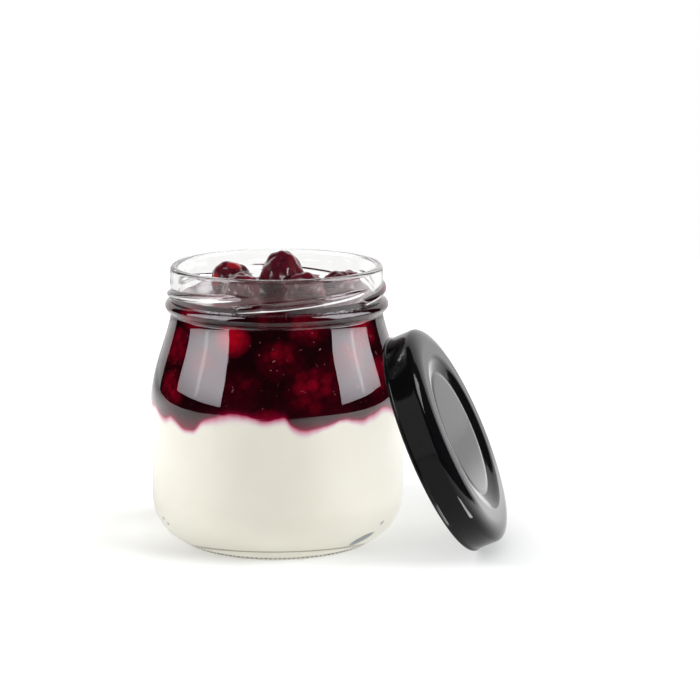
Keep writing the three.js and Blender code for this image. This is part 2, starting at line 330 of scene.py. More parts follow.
class Finish:
    """A material with one Principled shader and the shared unevenness at its own scales."""

    name = "finish"
    scales = (100.0, 900.0)
    bench: Bench
    shader: bpy.types.Node
    mask: bpy.types.NodeSocket
    height: bpy.types.NodeSocket

    def __init__(self) -> None:
        """Starts with no material made."""
        self.made: Optional[bpy.types.Material] = None

    def material(self) -> bpy.types.Material:
        """The material, made on first use, with its tools kept for its own way of dressing.

        Returns:
            The material.
        """
        if self.made is None:
            self.made = bpy.data.materials.new(self.name)
            self.made.use_nodes = True
            self.bench = Bench(self.made.node_tree)
            self.shader = self.made.node_tree.nodes["Principled BSDF"]
            scales = dict(zip(("Scale", "Fine Scale"), self.scales))
            uneven = self.bench.add("ShaderNodeGroup", scales, node_tree=mottle_group()).outputs
            self.mask, self.height = uneven["Mask"], uneven["Height"]
            self.dress()
        return self.made

    def dress(self) -> None:
        """Sets the shader, in each finish's own way."""
        raise NotImplementedError

    def settle(self, **sockets: Any) -> None:
        """Sets constant sockets of the shader, named with underscores for spaces."""
        for key, value in sockets.items():
            self.shader.inputs[key.replace("_", " ")].default_value = value

    def bump(self, height: bpy.types.NodeSocket, depth: float) -> None:
        """Lets a height in metres times depth tilt the normals of the shader and of its coat."""
        node = self.bench.add("ShaderNodeBump", {"Height": height, "Distance": depth, "Strength": 1.0})
        self.bench.feed(node.outputs["Normal"], self.shader, "Normal", "Coat Normal")


class ClearGlass(Finish):
    """Polished clear glass with the slight ripple of a mould. Shade and diffuse light pass straight through."""

    name = "clear_glass"
    scales = (55.0, 420.0)
    ripple = 0.00006
    fine_share = 0.06

    def dress(self) -> None:
        """Sets the glass and lets light through to what it holds."""
        bench = self.bench
        self.settle(Base_Color=(0.99, 0.992, 0.99, 1), Roughness=0.0, IOR=1.5, Transmission_Weight=1.0)
        self.bump(bench.plus(self.mask, bench.times(self.height, self.fine_share)), self.ripple)
        path = bench.add("ShaderNodeLightPath").outputs
        through = bench.math("MAXIMUM", path["Is Shadow Ray"], path["Is Diffuse Ray"])
        clear = bench.add("ShaderNodeBsdfTransparent", {"Color": (0.975, 0.975, 0.975, 1)})
        mixed = bench.add("ShaderNodeMixShader", {0: through, 1: self.shader.outputs[0], 2: clear.outputs[0]})
        bench.feed(mixed.outputs[0], bench.tree.nodes["Material Output"], "Surface")


class StippledGlass(Finish):
    """Glass of the small ridges under the base, dull and greenish, with painted shade that darkens them along the
    jar's foot.
    """

    name = "stippled_glass"
    scales = (500.0, 1500.0)

    def dress(self) -> None:
        """Sets a dull glass that varies from ridge to ridge, from painted shade to a pale tone."""
        bench = self.bench
        self.settle(Roughness=0.35, IOR=1.5, Transmission_Weight=0.4)
        # Partly the ridges' own dull tint, partly painted shade: the dark tone stands for the contact shade under the
        # jar's foot.
        bench.feed(bench.mix(self.mask, (0.26, 0.24, 0.17, 1), (0.6, 0.58, 0.49, 1)), self.shader, "Base Color")


class YogurtWhite(Finish):
    """Smooth moist yogurt against the glass, stained by the compote along the layer line."""

    name = "yogurt_white"
    scales = (70.0, 700.0)
    relief = 0.00004

    def dress(self) -> None:
        """Sets the white with its faint mottle, the stain, the painted grey of small air pockets and a painted line of
        shade at the heel.
        """
        bench = self.bench
        self.settle(Roughness=0.42, Specular_IOR_Level=0.06, Subsurface_Weight=0.2)
        self.settle(Subsurface_Radius=(1.0, 0.85, 0.7), Subsurface_Scale=0.0008)
        white = bench.mix(self.mask, (0.67, 0.635, 0.54, 1), (0.72, 0.69, 0.605, 1))
        stain = bench.value("bleed")
        pink = bench.ramp(stain, [
            (0.0, (0.68, 0.655, 0.575)),
            (0.04, (0.65, 0.57, 0.55)),
            (0.1, (0.61, 0.48, 0.49)),
            (0.2, (0.56, 0.34, 0.39)),
            (0.4, (0.50, 0.19, 0.26)),
            (0.7, (0.43, 0.08, 0.14)),
            (1.0, (0.34, 0.03, 0.07)),
        ])
        colour = bench.mix(bench.math("MINIMUM", bench.times(stain, 12.0), 1.0), white, pink)
        # Painted grey where small air pockets meet the glass: it stands for their shade and reflections.
        colour = bench.mix(bench.value("pocket_shade"), colour, (0.22, 0.24, 0.25, 1))
        # Painted shade: a thin dark line on the yogurt's underside at the heel.
        bench.feed(bench.mix(bench.value("heel_shade_line"), colour, (0.2, 0.165, 0.1, 1)), self.shader, "Base Color")
        self.bump(self.height, self.relief)


class GelAtWall(Finish):
    """Compote pressed against the glass: near black where deep, red where fruit comes close to the wall."""

    name = "compote_at_wall"
    scales = (150.0, 800.0)

    def dress(self) -> None:
        """Sets the depth of red from the fruit behind and the brighter thin edge."""
        bench = self.bench
        self.settle(Roughness=0.5, Specular_IOR_Level=0.0)
        pulp = bench.times(bench.math("SUBTRACT", self.mask, 0.5), 0.3)
        fibre = bench.times(bench.math("SUBTRACT", self.height, 0.5), 0.16)
        fruit = bench.times(bench.value("fruit"), bench.plus(bench.times(self.height, 0.9), 0.55))
        glow = bench.plus(fruit, bench.math("MAXIMUM", bench.plus(pulp, fibre), 0.0))
        red = bench.ramp(glow, [
            (0.0, (0.0068, 0.0010, 0.0018)),
            (0.15, (0.024, 0.0006, 0.0026)),
            (0.45, (0.105, 0.0008, 0.006)),
            (1.0, (0.32, 0.002, 0.010)),
        ])
        bench.feed(bench.mix(bench.value("edge"), red, (0.21, 0.003, 0.028, 1)), self.shader, "Base Color")


class GelSurface(Finish):
    """The compote's wet top."""

    name = "compote_surface"
    scales = (170.0, 420.0)
    relief = 0.0001

    def dress(self) -> None:
        """Sets a dark red under a glossy skin."""
        bench = self.bench
        self.settle(Roughness=0.22, IOR=1.4, Coat_Weight=0.15, Coat_Roughness=0.05)
        red = bench.ramp(self.mask, [
            (0.3, (0.018, 0.0008, 0.0025)),
            (0.55, (0.045, 0.001, 0.004)),
            (0.75, (0.11, 0.002, 0.008)),
        ])
        bench.feed(red, self.shader, "Base Color")
        self.bump(self.height, self.relief)


class BerrySkin(Finish):
    """Soft cooked berry under a coat of syrup: painted shade darkens the creases, each drupelet a little different."""

    name = "berry_skin"
    scales = (260.0, 520.0)
    relief = 0.0004

    def dress(self) -> None:
        """Sets the reds by drupelet, the painted shade in the creases, and the wet coat."""
        bench = self.bench
        self.settle(Roughness=0.3, Specular_IOR_Level=0.2, Subsurface_Weight=0.2, Subsurface_Scale=0.0012)
        self.settle(Subsurface_Radius=(1.0, 0.15, 0.1), Coat_Weight=0.6, Coat_Roughness=0.03)
        skin = bench.ramp(bench.value("ripe"), [
            (0.0, (0.050, 0.002, 0.007)),
            (0.5, (0.105, 0.003, 0.011)),
            (0.85, (0.15, 0.004, 0.014)),
            (1.0, (0.36, 0.008, 0.016)),
        ])
        # Painted shade: the creases between drupelets darken towards near black.
        shade = bench.mix(bench.math("POWER", bench.value("crest"), 0.7), (0.012, 0.001, 0.003, 1), skin)
        bench.feed(bench.mix(bench.times(self.mask, 0.5), shade, (0.05, 0.008, 0.012, 1)), self.shader, "Base Color")
        self.bump(self.height, self.relief)


class SeedHull(Finish):
    """Small hard seed stained by juice."""

    name = "seed_hull"
    scales = (90.0, 2500.0)
    relief = 0.0001

    def dress(self) -> None:
        """Sets a tan that varies from seed to seed."""
        bench = self.bench
        self.settle(Roughness=0.45, Specular_IOR_Level=0.1)
        tan = bench.ramp(self.mask, [
            (0.4, (0.06, 0.004, 0.008)),
            (0.56, (0.16, 0.032, 0.036)),
            (0.72, (0.33, 0.16, 0.145)),
        ])
        bench.feed(tan, self.shader, "Base Color")
        self.bump(self.height, self.relief)


class BlackLacquer(Finish):
    """Gloss black lacquer baked on pressed sheet."""

    name = "black_lacquer"
    scales = (120.0, 1400.0)
    relief = 0.00001

    def dress(self) -> None:
        """Sets the black, its uneven gloss and a faint orange peel."""
        bench = self.bench
        self.settle(IOR=1.25, Coat_Weight=0.0)
        black = bench.mix(self.mask, (0.0022, 0.0022, 0.0025, 1), (0.0034, 0.0034, 0.0038, 1))
        gloss = bench.add("ShaderNodeMapRange", {"Value": self.mask, "To Min": 0.06, "To Max": 0.1})
        bench.feed(black, self.shader, "Base Color")
        bench.feed(gloss.outputs[0], self.shader, "Roughness")
        self.bump(self.height, self.relief)


class PaleFloor(Finish):
    """Matt white sheet with a painted glow that differs by the kind of ray: how it looks, what it mirrors and the
    light it bounces.

    Places on it are metres from the jar's axis.
    """

    name = "pale_floor"
    scales = (3.0, 300.0)
    mirrored = 1.1
    bounce = 0.26
    left_bounce = 0.5
    under = 0.35
    far_glow = 0.4
    open_glow = 0.27
    left_glow = 0.36
    through = 0.3
    shade_middle = (0.0, 0.003, 0.0)
    shade_squeeze = (1.0, 1.7, 0.0)
    cap_shade = 0.047

    def dress(self) -> None:
        """Sets the white, painted dark far in front where reflections see it, and the painted glow it adds for each
        kind of ray.
        """
        bench = self.bench
        self.settle(Roughness=0.9, Specular_IOR_Level=0.0)
        white = bench.mix(self.mask, (0.775, 0.77, 0.755, 1), (0.795, 0.79, 0.775, 1))
        away = bench.vector("SUBTRACT", bench.add("ShaderNodeTexCoord").outputs["Object"], tuple(AXIS))
        distance = bench.vector("LENGTH", away)
        x, y, _ = bench.add("ShaderNodeSeparateXYZ", {0: away}).outputs
        across = bench.math("ABSOLUTE", x)
        path = bench.add("ShaderNodeLightPath").outputs
        mirror = bench.times(path["Is Glossy Ray"], bench.math("SUBTRACT", 1.0, path["Is Transmission Ray"]))
        front = bench.times(bench.share(y, -0.33, -0.4), bench.share(across, 0.35, 0.2))
        # Painted reflection: reflections see the floor near black far in front.
        bench.feed(bench.mix(bench.times(mirror, front), white, (0.02, 0.02, 0.02, 1)), self.shader, "Base Color")
        # Painted tints of the floor's glow: pinkish in reflections, bluish in the light it bounces.
        tint = bench.mix(mirror, (1, 1, 1, 1), (1, 0.96, 0.97, 1))
        bench.feed(bench.mix(path["Is Diffuse Ray"], tint, (0.9, 0.96, 1, 1)), self.shader, "Emission Color")
        # Painted glow that the camera sees, and a share of it through the glass.
        looked = bench.math("MAXIMUM", bench.times(path["Is Transmission Ray"], self.through), path["Is Camera Ray"])
        seen = bench.times(self.open_white(away, distance, x, y), looked)
        # Painted reflection: a glow seen in reflections beside the jar.
        beside = bench.times(bench.share(across, 0.06, 0.14), bench.share(y, 0.35, 0.15))
        # Painted light bounced up from under the jar and from the left, for diffuse rays.
        under = bench.times(bench.share(distance, 0.045, 0.025), self.under)
        lift = bench.times(bench.share(x, -0.015, -0.05), bench.share(distance, 0.12, 0.08), self.left_bounce)
        lit = bench.times(path["Is Diffuse Ray"], bench.plus(under, lift, self.bounce))
        bench.feed(bench.plus(seen, bench.times(mirror, beside, self.mirrored), lit), self.shader, "Emission Strength")
        self.made.cycles.emission_sampling = "NONE"

    def open_white(self, away: Any, distance: Any, x: Any, y: Any) -> bpy.types.NodeSocket:
        """The painted glow that lifts the floor to white outside the soft shade of the jar and the cap, and lightens
        the jar's shadow on the left.

        Args:
            away: Socket of the place round the jar.
            distance: Socket of its length.
            x: Socket of its first part.
            y: Socket of its second part.

        Returns:
            The glow's socket.
        """
        bench = self.bench
        squeezed = bench.vector("MULTIPLY", bench.vector("SUBTRACT", away, self.shade_middle), self.shade_squeeze)
        gap = bench.share(bench.math("ABSOLUTE", bench.math("SUBTRACT", x, self.cap_shade)), 0.015, 0.05)
        gap = bench.math("MAXIMUM", gap, bench.share(y, 0.055, 0.1))
        clear = bench.times(bench.share(bench.vector("LENGTH", squeezed), 0.05, 0.08), gap)
        clear = bench.math("MAXIMUM", clear, bench.share(y, -0.03, -0.047))
        level = bench.math("ABSOLUTE", bench.math("SUBTRACT", y, self.shade_middle[1]))
        left = bench.times(bench.share(x, -0.01, -0.045), bench.share(level, 0.065, 0.0), self.left_glow)
        far = bench.times(bench.share(distance, 0.13, 0.4), self.far_glow)
        return bench.plus(far, bench.times(clear, self.open_glow), left)


class LitWall(Finish):
    """Evenly lit white wall behind the jar, seen only in reflections and through the glass."""

    name = "lit_wall"
    scales = (2.0, 100.0)
    radiance = 1.13

    def dress(self) -> None:
        """Sets a glow with the faint unevenness of a lit cloth."""
        bench = self.bench
        self.settle(Roughness=1.0, Specular_IOR_Level=0.0, Base_Color=(0, 0, 0, 1))
        self.settle(Emission_Strength=self.radiance)
        bench.feed(bench.mix(self.mask, (0.96, 0.96, 0.96, 1), (1, 1, 1, 1)), self.shader, "Emission Color")


@dataclass
class Finishes:
    """Every finish, made once."""

    glass: ClearGlass = field(default_factory=ClearGlass)
    stipple: StippledGlass = field(default_factory=StippledGlass)
    yogurt: YogurtWhite = field(default_factory=YogurtWhite)
    gel_wall: GelAtWall = field(default_factory=GelAtWall)
    gel_top: GelSurface = field(default_factory=GelSurface)
    berry: BerrySkin = field(default_factory=BerrySkin)
    seed: SeedHull = field(default_factory=SeedHull)
    lacquer: BlackLacquer = field(default_factory=BlackLacquer)
    floor: PaleFloor = field(default_factory=PaleFloor)
    wall: LitWall = field(default_factory=LitWall)


class Slot(Enum):
    """The record's material slots."""

    GLASS = "clear_glass"
    YOGURT = "yogurt"
    COMPOTE = "compote"
    BERRY = "berry"
    LACQUER = "black_lacquer"


def hand_over(
    piece: bpy.types.Object, finishes: Sequence[Finish] = (), nodes: Sequence[str] = ()
) -> bpy.types.Object:
    """Dresses a piece, sets it on the body and the solids that it stands for.

    Args:
        piece: The piece.
        finishes: Its finishes, if it has none yet.
        nodes: Names of the solids that it replaces.

    Returns:
        The piece.
    """
    for finish in finishes:
        piece.data.materials.append(finish.material())
    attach(piece, "root")
    if nodes:
        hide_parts(*nodes)
    log.info("%s: %d triangles", piece.name, sum(len(face.vertices) - 2 for face in piece.data.polygons))
    return piece


# Glass.


@dataclass(frozen=True)
class GlassForm:
    """The jar's glass in profile."""

    height: float = 83.3
    body_radius: float = 38.2
    body_top: float = 42.5
    waist_radius: float = 31.95
    waist_height: float = 68.6
    handle_low: float = 9.0
    handle_high: float = 6.1
    flare: float = 0.65
    neck_radius: float = 31.9
    rim_width: float = 2.3
    heel_height: float = 13.7
    bearing_outer: float = 26.5
    bearing_inner: float = 24.0
    punt_radius: float = 20.0
    punt_height: float = 2.4
    wall: float = 2.5
    bore_bottom: float = 68.0
    inner_heel_height: float = 10.7
    inner_heel_reach: float = 10.5
    floor_edge_height: float = 4.8
    floor_crown: float = 0.8

    @property
    def inner_radius(self) -> float:
        """Radius of the body's inside."""
        return self.body_radius - self.wall

    @property
    def bore_radius(self) -> float:
        """Radius of the neck's inside."""
        return self.neck_radius - self.rim_width

    @property
    def floor_edge(self) -> float:
        """Radius of the flat part of the floor."""
        return self.inner_radius - self.inner_heel_reach

    @property
    def inner_heel_top(self) -> float:
        """Height where the inner heel ends."""
        return self.floor_edge_height + self.inner_heel_height

    def shoulder(self, body: float, neck: float, top: float, steps: int) -> Array:
        """The S curve from the body to the neck.

        Args:
            body: Radius at its foot.
            neck: Radius at its top.
            top: Height of its top.
            steps: Number of points.

        Returns:
            Radius and height of each point.
        """
        corners = [
            (body, self.body_top),
            (body, self.body_top + self.handle_low),
            (neck + self.flare, top - self.handle_high),
            (neck, top),
        ]
        return bezier(corners, steps)

    def inner_heel(self, growth: float, steps: int) -> Array:
        """The inner heel's curve, grown into the glass by a little."""
        reach, rise = self.inner_heel_reach + growth, self.inner_heel_height + growth
        return ellipse_arc((self.floor_edge, self.inner_heel_top), reach, rise, (-90, 0), steps)

    def inside(self, z: Array) -> Array:
        """Radius of the inner wall at heights above the inner heel."""
        wall = self.shoulder(self.inner_radius, self.bore_radius, self.bore_bottom, 200)
        return np.interp(z, wall[:, 1], wall[:, 0])


@dataclass
class GlassJar:
    """The jar's glass with its neck ring, thread beads, rim and stippled base."""

    form: GlassForm
    columns: int = 256
    neck_from: float = 67.2
    neck_step: float = 0.1
    ring_height: float = 71.3
    ring_bed: float = 31.2
    ring_reach: float = 2.35
    ring_half_width: float = 2.0
    ring_fillet: float = 0.3
    starts: int = 5
    first_azimuth: float = -18.0
    span: float = 75.0
    bead_height: float = 74.6
    bead_rise: float = 3.4
    bead_bed: float = 31.25
    bead_reach: float = 1.7
    bead_half_width: float = 1.24
    bead_end: float = 1.5
    bead_taper: float = 1.05
    taper_from: float = 0.75
    bead_fillet: float = 0.2
    stipples: int = 132
    stipple_radius: float = 28.5
    stipple_length: float = 2.6
    stipple_width: float = 0.75
    stipple_height: float = 0.5
    bearing_lift: float = 0.22

    def neck(self, z: Array, azimuth: Array) -> Array:
        """Outer radius of the neck with its ring and thread beads.

        Args:
            z: Heights.
            azimuth: Azimuths, of the same shape.

        Returns:
            The radius at each place.
        """
        form = self.form
        foot = form.shoulder(form.body_radius, form.waist_radius, form.waist_height, 200)
        radius = np.interp(z, foot[:, 1], foot[:, 0], right=form.neck_radius)
        across = 1 - ((z - self.ring_height) / self.ring_half_width) ** 2
        ring = self.ring_bed + self.ring_reach * np.sqrt(np.maximum(across, 0))
        radius = smooth_max(radius, ring, self.ring_fillet)
        for start in range(self.starts):
            local = (azimuth - self.first_azimuth - 360 * start / self.starts + 90) % 360 - 90
            share = np.clip(local / self.span, 0, 1)
            middle = self.bead_height + self.bead_rise * share
            beyond = np.radians(np.maximum(np.maximum(-local, local - self.span), 0)) * form.neck_radius
            across = 1 - ((z - middle) / self.bead_half_width) ** 2 - (beyond / self.bead_end) ** 2
            dip = self.bead_taper * np.clip((share - self.taper_from) / (1 - self.taper_from), 0, 1) ** 1.5
            bead = self.bead_bed - dip + self.bead_reach * np.sqrt(np.maximum(across, 0))
            radius = smooth_max(radius, bead, self.bead_fillet)
        return radius

    def profile(self) -> tuple[Array, slice]:
        """The whole profile, from under the base over the rim to the floor inside.

        Returns:
            Radius and height of each row, and the rows of the neck.
        """
        form = self.form
        under = np.array([(radius, form.punt_height) for radius in (6.0, 12.0, 17.0)])
        ring = form.bearing_inner
        corners = [(form.punt_radius, form.punt_height), (ring, form.punt_height), (ring, 0)]
        heel_middle = (form.bearing_outer, form.heel_height)
        heel = ellipse_arc(heel_middle, form.body_radius - form.bearing_outer, form.heel_height, (-90, 0), 36)
        base = np.concatenate([under, bezier(corners, 12), heel])
        base[:, 1] = smooth_max(base[:, 1], np.full(len(base), self.bearing_lift), 0.2)
        wall = np.array([(form.body_radius, z) for z in np.linspace(form.heel_height, form.body_top, 9)[1:-1]])
        outer = form.shoulder(form.body_radius, form.waist_radius, form.waist_height, 50)
        outer = outer[outer[:, 1] < self.neck_from - 0.1]
        rim_centre = (form.neck_radius - form.rim_width / 2, form.height - form.rim_width / 2)
        heights = np.arange(self.neck_from, rim_centre[1] - 0.05, self.neck_step)
        neck = np.stack([np.full(len(heights), form.neck_radius), heights], 1)
        rim = ellipse_arc(rim_centre, form.rim_width / 2, form.rim_width / 2, (0, 180), 24)
        bore = np.array([(form.bore_radius, z) for z in (80.0, 77.0, 74.0, 71.0)])
        inner = form.shoulder(form.inner_radius, form.bore_radius, form.bore_bottom, 38)[::-1]
        side = np.array([(form.inner_radius, z) for z in (36.0, 28.0, 21.0)])
        inner_heel = form.inner_heel(0.0, 24)[::-1]
        floor = np.array([(r, self.floor_height(r)) for r in (18.0, 11.0, 5.0)])
        first = len(base) + len(wall) + len(outer)
        rows = np.concatenate([base, wall, outer, neck, rim, bore, inner, side, inner_heel, floor])
        return rows, slice(first, first + len(neck))

    def floor_height(self, radius: float) -> float:
        """Height of the floor inside the jar."""
        return self.form.floor_edge_height + self.form.floor_crown * (1 - radius / self.form.floor_edge)

    def build(self) -> bpy.types.Object:
        """Makes the glass as one closed turned body.

        Returns:
            The glass.
        """
        rows, neck = self.profile()
        radius, height = stack_rings(rows, self.columns)
        radius[neck] = self.neck(height[neck], np.broadcast_to(azimuths(self.columns), height[neck].shape))
        return turned("jar_glass", radius, height, (self.form.punt_height, self.floor_height(0.0)))

    def build_stipples(self, material: bpy.types.Material) -> bpy.types.Object:
        """Strews short ridges round the ring that the jar stands on.

        Args:
            material: Their finish.

        Returns:
            The ridges as one mesh.
        """
        tree = ring_tree(material)
        sizes = {
            "Count": self.stipples,
            "Radius": self.stipple_radius * MM,
            "Size": Vector((self.stipple_length, self.stipple_width, self.stipple_height)) * MM,
            "Middle": Vector(AXIS) + Vector((0, 0, self.stipple_height / 2 * MM)),
        }
        return grown("base_stipples", tree, sizes)

    def dress(self, finishes: Finishes) -> None:
        """Builds the glass and its stipples and gives them their finish."""
        hand_over(self.build(), [finishes.glass], ["glass_jar"])
        hand_over(self.build_stipples(finishes.stipple.material()))


# Geometry Nodes.


def new_tree(name: str, inputs: dict[str, str]) -> bpy.types.NodeTree:
    """An empty Geometry Nodes tree with named inputs.

    Args:
        name: Name of the tree.
        inputs: Name and kind of each input.

    Returns:
        The tree, with a geometry in and out.
    """
    tree = bpy.data.node_groups.new(name, "GeometryNodeTree")
    tree.interface.new_socket("Geometry", in_out="INPUT", socket_type="NodeSocketGeometry")
    for key, kind in inputs.items():
        tree.interface.new_socket(key, in_out="INPUT", socket_type="NodeSocket" + kind)
    tree.interface.new_socket("Geometry", in_out="OUTPUT", socket_type="NodeSocketGeometry")
    return tree


def finish_tree(bench: Bench, instances: Any, material: bpy.types.Material) -> None:
    """Ends a tree: instances made real, shaded smooth and given their material.

    Args:
        bench: The tree at work.
        instances: Socket of the instances.
        material: Their finish.
    """
    real = bench.add("GeometryNodeRealizeInstances", {0: instances}).outputs[0]
    smooth = bench.add("GeometryNodeSetShadeSmooth", {0: real}).outputs[0]
    dressed = bench.add("GeometryNodeSetMaterial", {"Geometry": smooth, "Material": material}).outputs[0]
    bench.add("NodeGroupOutput", {"Geometry": dressed})


def grain(bench: Bench, size: Any) -> Any:
    """A small rounded grain of a length, width and thickness."""
    ball = bench.add("GeometryNodeMeshUVSphere", {"Segments": 8, "Rings": 6, "Radius": 0.5}).outputs["Mesh"]
    return bench.add("GeometryNodeTransform", {"Geometry": ball, "Scale": size}).outputs[0]


def ring_tree(material: bpy.types.Material) -> bpy.types.NodeTree:
    """Grains in a ring, each pointing at the middle.

    Args:
        material: Their finish.

    Returns:
        The tree.
    """
    tree = new_tree("ring_of_grains", {"Count": "Int", "Radius": "Float", "Size": "Vector", "Middle": "Vector"})
    bench = Bench(tree)
    given = bench.add("NodeGroupInput").outputs
    ring = bench.add("GeometryNodeMeshCircle", {"Vertices": given["Count"], "Radius": given["Radius"]})
    outward = bench.add("GeometryNodeInputPosition").outputs[0]
    turn = bench.add("FunctionNodeAlignRotationToVector", {"Vector": outward}, axis="X").outputs[0]
    inputs = {"Points": ring.outputs[0], "Instance": grain(bench, given["Size"]), "Rotation": turn}
    spread = bench.add("GeometryNodeInstanceOnPoints", inputs).outputs[0]
    moved = bench.add("GeometryNodeTransform", {"Geometry": spread, "Translation": given["Middle"]}).outputs[0]
    finish_tree(bench, moved, material)
    return tree


def scatter_tree(material: bpy.types.Material, tilt: float = 0.25, sizes: Pair = (0.6, 1.2)) -> bpy.types.NodeTree:
    """Grains strewn over a surface, sunk a little into it and turned at random.

    Args:
        material: Their finish.
        tilt: The most that they lean, in radians.
        sizes: The smallest and the largest share of their size.

    Returns:
        The tree.
    """
    inputs = {"Density": "Float", "Seed": "Int", "Size": "Vector", "Sink": "Float"}
    tree = new_tree("strewn_grains", inputs)
    bench = Bench(tree)
    given = bench.add("NodeGroupInput").outputs
    inputs = {"Mesh": given["Geometry"], "Density": given["Density"], "Seed": given["Seed"]}
    strewn = bench.add("GeometryNodeDistributePointsOnFaces", inputs).outputs
    down = bench.times(given["Sink"], -1.0)
    offset = bench.add("ShaderNodeVectorMath", {0: strewn["Normal"], "Scale": down}, operation="SCALE").outputs[0]
    sunk = bench.add("GeometryNodeSetPosition", {"Geometry": strewn["Points"], "Offset": offset}).outputs[0]
    spin = bench.add("FunctionNodeRandomValue", {"Seed": given["Seed"]}, data_type="FLOAT_VECTOR")
    spin.inputs[0].default_value = (-tilt, -tilt, 0.0)
    spin.inputs[1].default_value = (tilt, tilt, 2 * math.pi)
    turn = bench.add("FunctionNodeEulerToRotation", {0: spin.outputs[0]}).outputs[0]
    inputs = {"Rotation": strewn["Rotation"], "Rotate By": turn}
    posed = bench.add("FunctionNodeRotateRotation", inputs, rotation_space="LOCAL").outputs[0]
    scale = bench.add("FunctionNodeRandomValue", {"Seed": given["Seed"]}, data_type="FLOAT")
    scale.inputs[2].default_value, scale.inputs[3].default_value = sizes
    inputs = {"Points": sunk, "Instance": grain(bench, given["Size"]), "Rotation": posed, "Scale": scale.outputs[1]}
    spread = bench.add("GeometryNodeInstanceOnPoints", inputs).outputs[0]
    finish_tree(bench, spread, material)
    return tree


def grown(
    name: str, tree: bpy.types.NodeTree, sizes: dict[str, Any], bed: Optional[bpy.types.Mesh] = None
) -> bpy.types.Object:
    """A plain mesh grown by a tree.

    Args:
        name: Name of the piece.
        tree: The tree.
        sizes: Value of each named input.
        bed: Mesh that the tree grows on.

    Returns:
        The piece, with no modifier left on it.
    """
    piece = bpy.data.objects.new(name, bed or bpy.data.meshes.new(name + "_bed"))
    bpy.context.scene.collection.objects.link(piece)
    modifier = piece.modifiers.new("grow", "NODES")
    modifier.node_group = tree
    for item in tree.interface.items_tree:
        if item.in_out == "INPUT" and item.name in sizes:
            modifier[item.identifier] = sizes[item.name]
    bpy.context.view_layer.update()
    shaped = piece.evaluated_get(bpy.context.evaluated_depsgraph_get())
    mesh = bpy.data.meshes.new_from_object(shaped)
    piece.modifiers.clear()
    piece.data = mesh
    mesh.name = name
    return piece


# Contents.


@dataclass(frozen=True)
class LayerLine:
    """The line between yogurt and compote: drips at the wall that fade out towards the middle.

    Round the front it follows azimuths and heights, round the back drips with a centre, depth and half width.
    """

    level: float = 44.3
    sharpness: float = 4.0
    ripple: float = 0.07
    seed: int = 5
    lift: float = 0.1
    front_end: float = 76.0
    front_blend: float = 7.0
    front: tuple[Pair, ...] = (
        (-76, 42.0), (-69, 41.1), (-63, 40.1), (-60, 40.0), (-56.5, 41.2), (-53.5, 40.9), (-50, 39.6), (-46.5, 38.5),
        (-41, 38.4), (-38, 39.0), (-36.2, 41.2), (-34, 42.2), (-28, 43.3), (-21.5, 44.6), (-16, 44.9), (-10.5, 44.1),
        (-6.5, 43.2), (-2.5, 43.1), (0.5, 43.6), (4.6, 44.3), (6.2, 43.6), (7.8, 41.8), (10.5, 40.7), (14, 40.2),
        (18, 40.3), (23, 40.9), (28, 41.6), (31, 42.4), (34, 42.6), (38, 41.8), (44.5, 41.3), (48.5, 42.1),
        (53, 42.5), (58, 43.5), (63, 43.2), (68, 41.3), (72, 40.4), (76, 41.0),
    )
    drips: tuple[Triple, ...] = (
        (-61, 3.4, 5), (73, 3.8, 7), (100, 2.2, 9), (128, 4.6, 8), (155, 2, 7), (179, 4, 9), (206, 2.4, 7),
        (232, 4.8, 8), (262, 3, 9), (283, 2.4, 7),
    )

    def edge(self, azimuth: Array) -> Array:
        """Height of the line at the wall.

        Args:
            azimuth: Azimuths.

        Returns:
            The height at each.
        """
        facing = (azimuth + 180) % 360 - 180
        height = np.full_like(facing, self.level, dtype=float)
        for centre, depth, half_width in self.drips:
            away = (azimuth - centre + 180) % 360 - 180
            height -= depth * np.exp(-((away / half_width) ** 2))
        places, heights = np.array(self.front).T
        drawn = sum(np.interp(facing + shift, places, heights) for shift in (-1.0, 0.0, 1.0)) / 3 + self.lift
        height += (drawn - height) * np.clip((self.front_end - np.abs(facing)) / self.front_blend, 0, 1)
        draw = np.random.default_rng(self.seed)
        for waves in (23, 37, 59, 83):
            height += self.ripple * draw.uniform(0.5, 1) * np.sin(np.radians(azimuth * waves) + draw.uniform(0, 6.28))
        return height

    def inside(self, azimuth: Array, share: float) -> Array:
        """Height of the line at a share of the wall's radius."""
        return self.level + (self.edge(azimuth) - self.level) * share**self.sharpness


CONTENTS_COLUMNS = 512
LAYER_SHARES = (0.25, 0.5, 0.75, 0.9, 0.97)


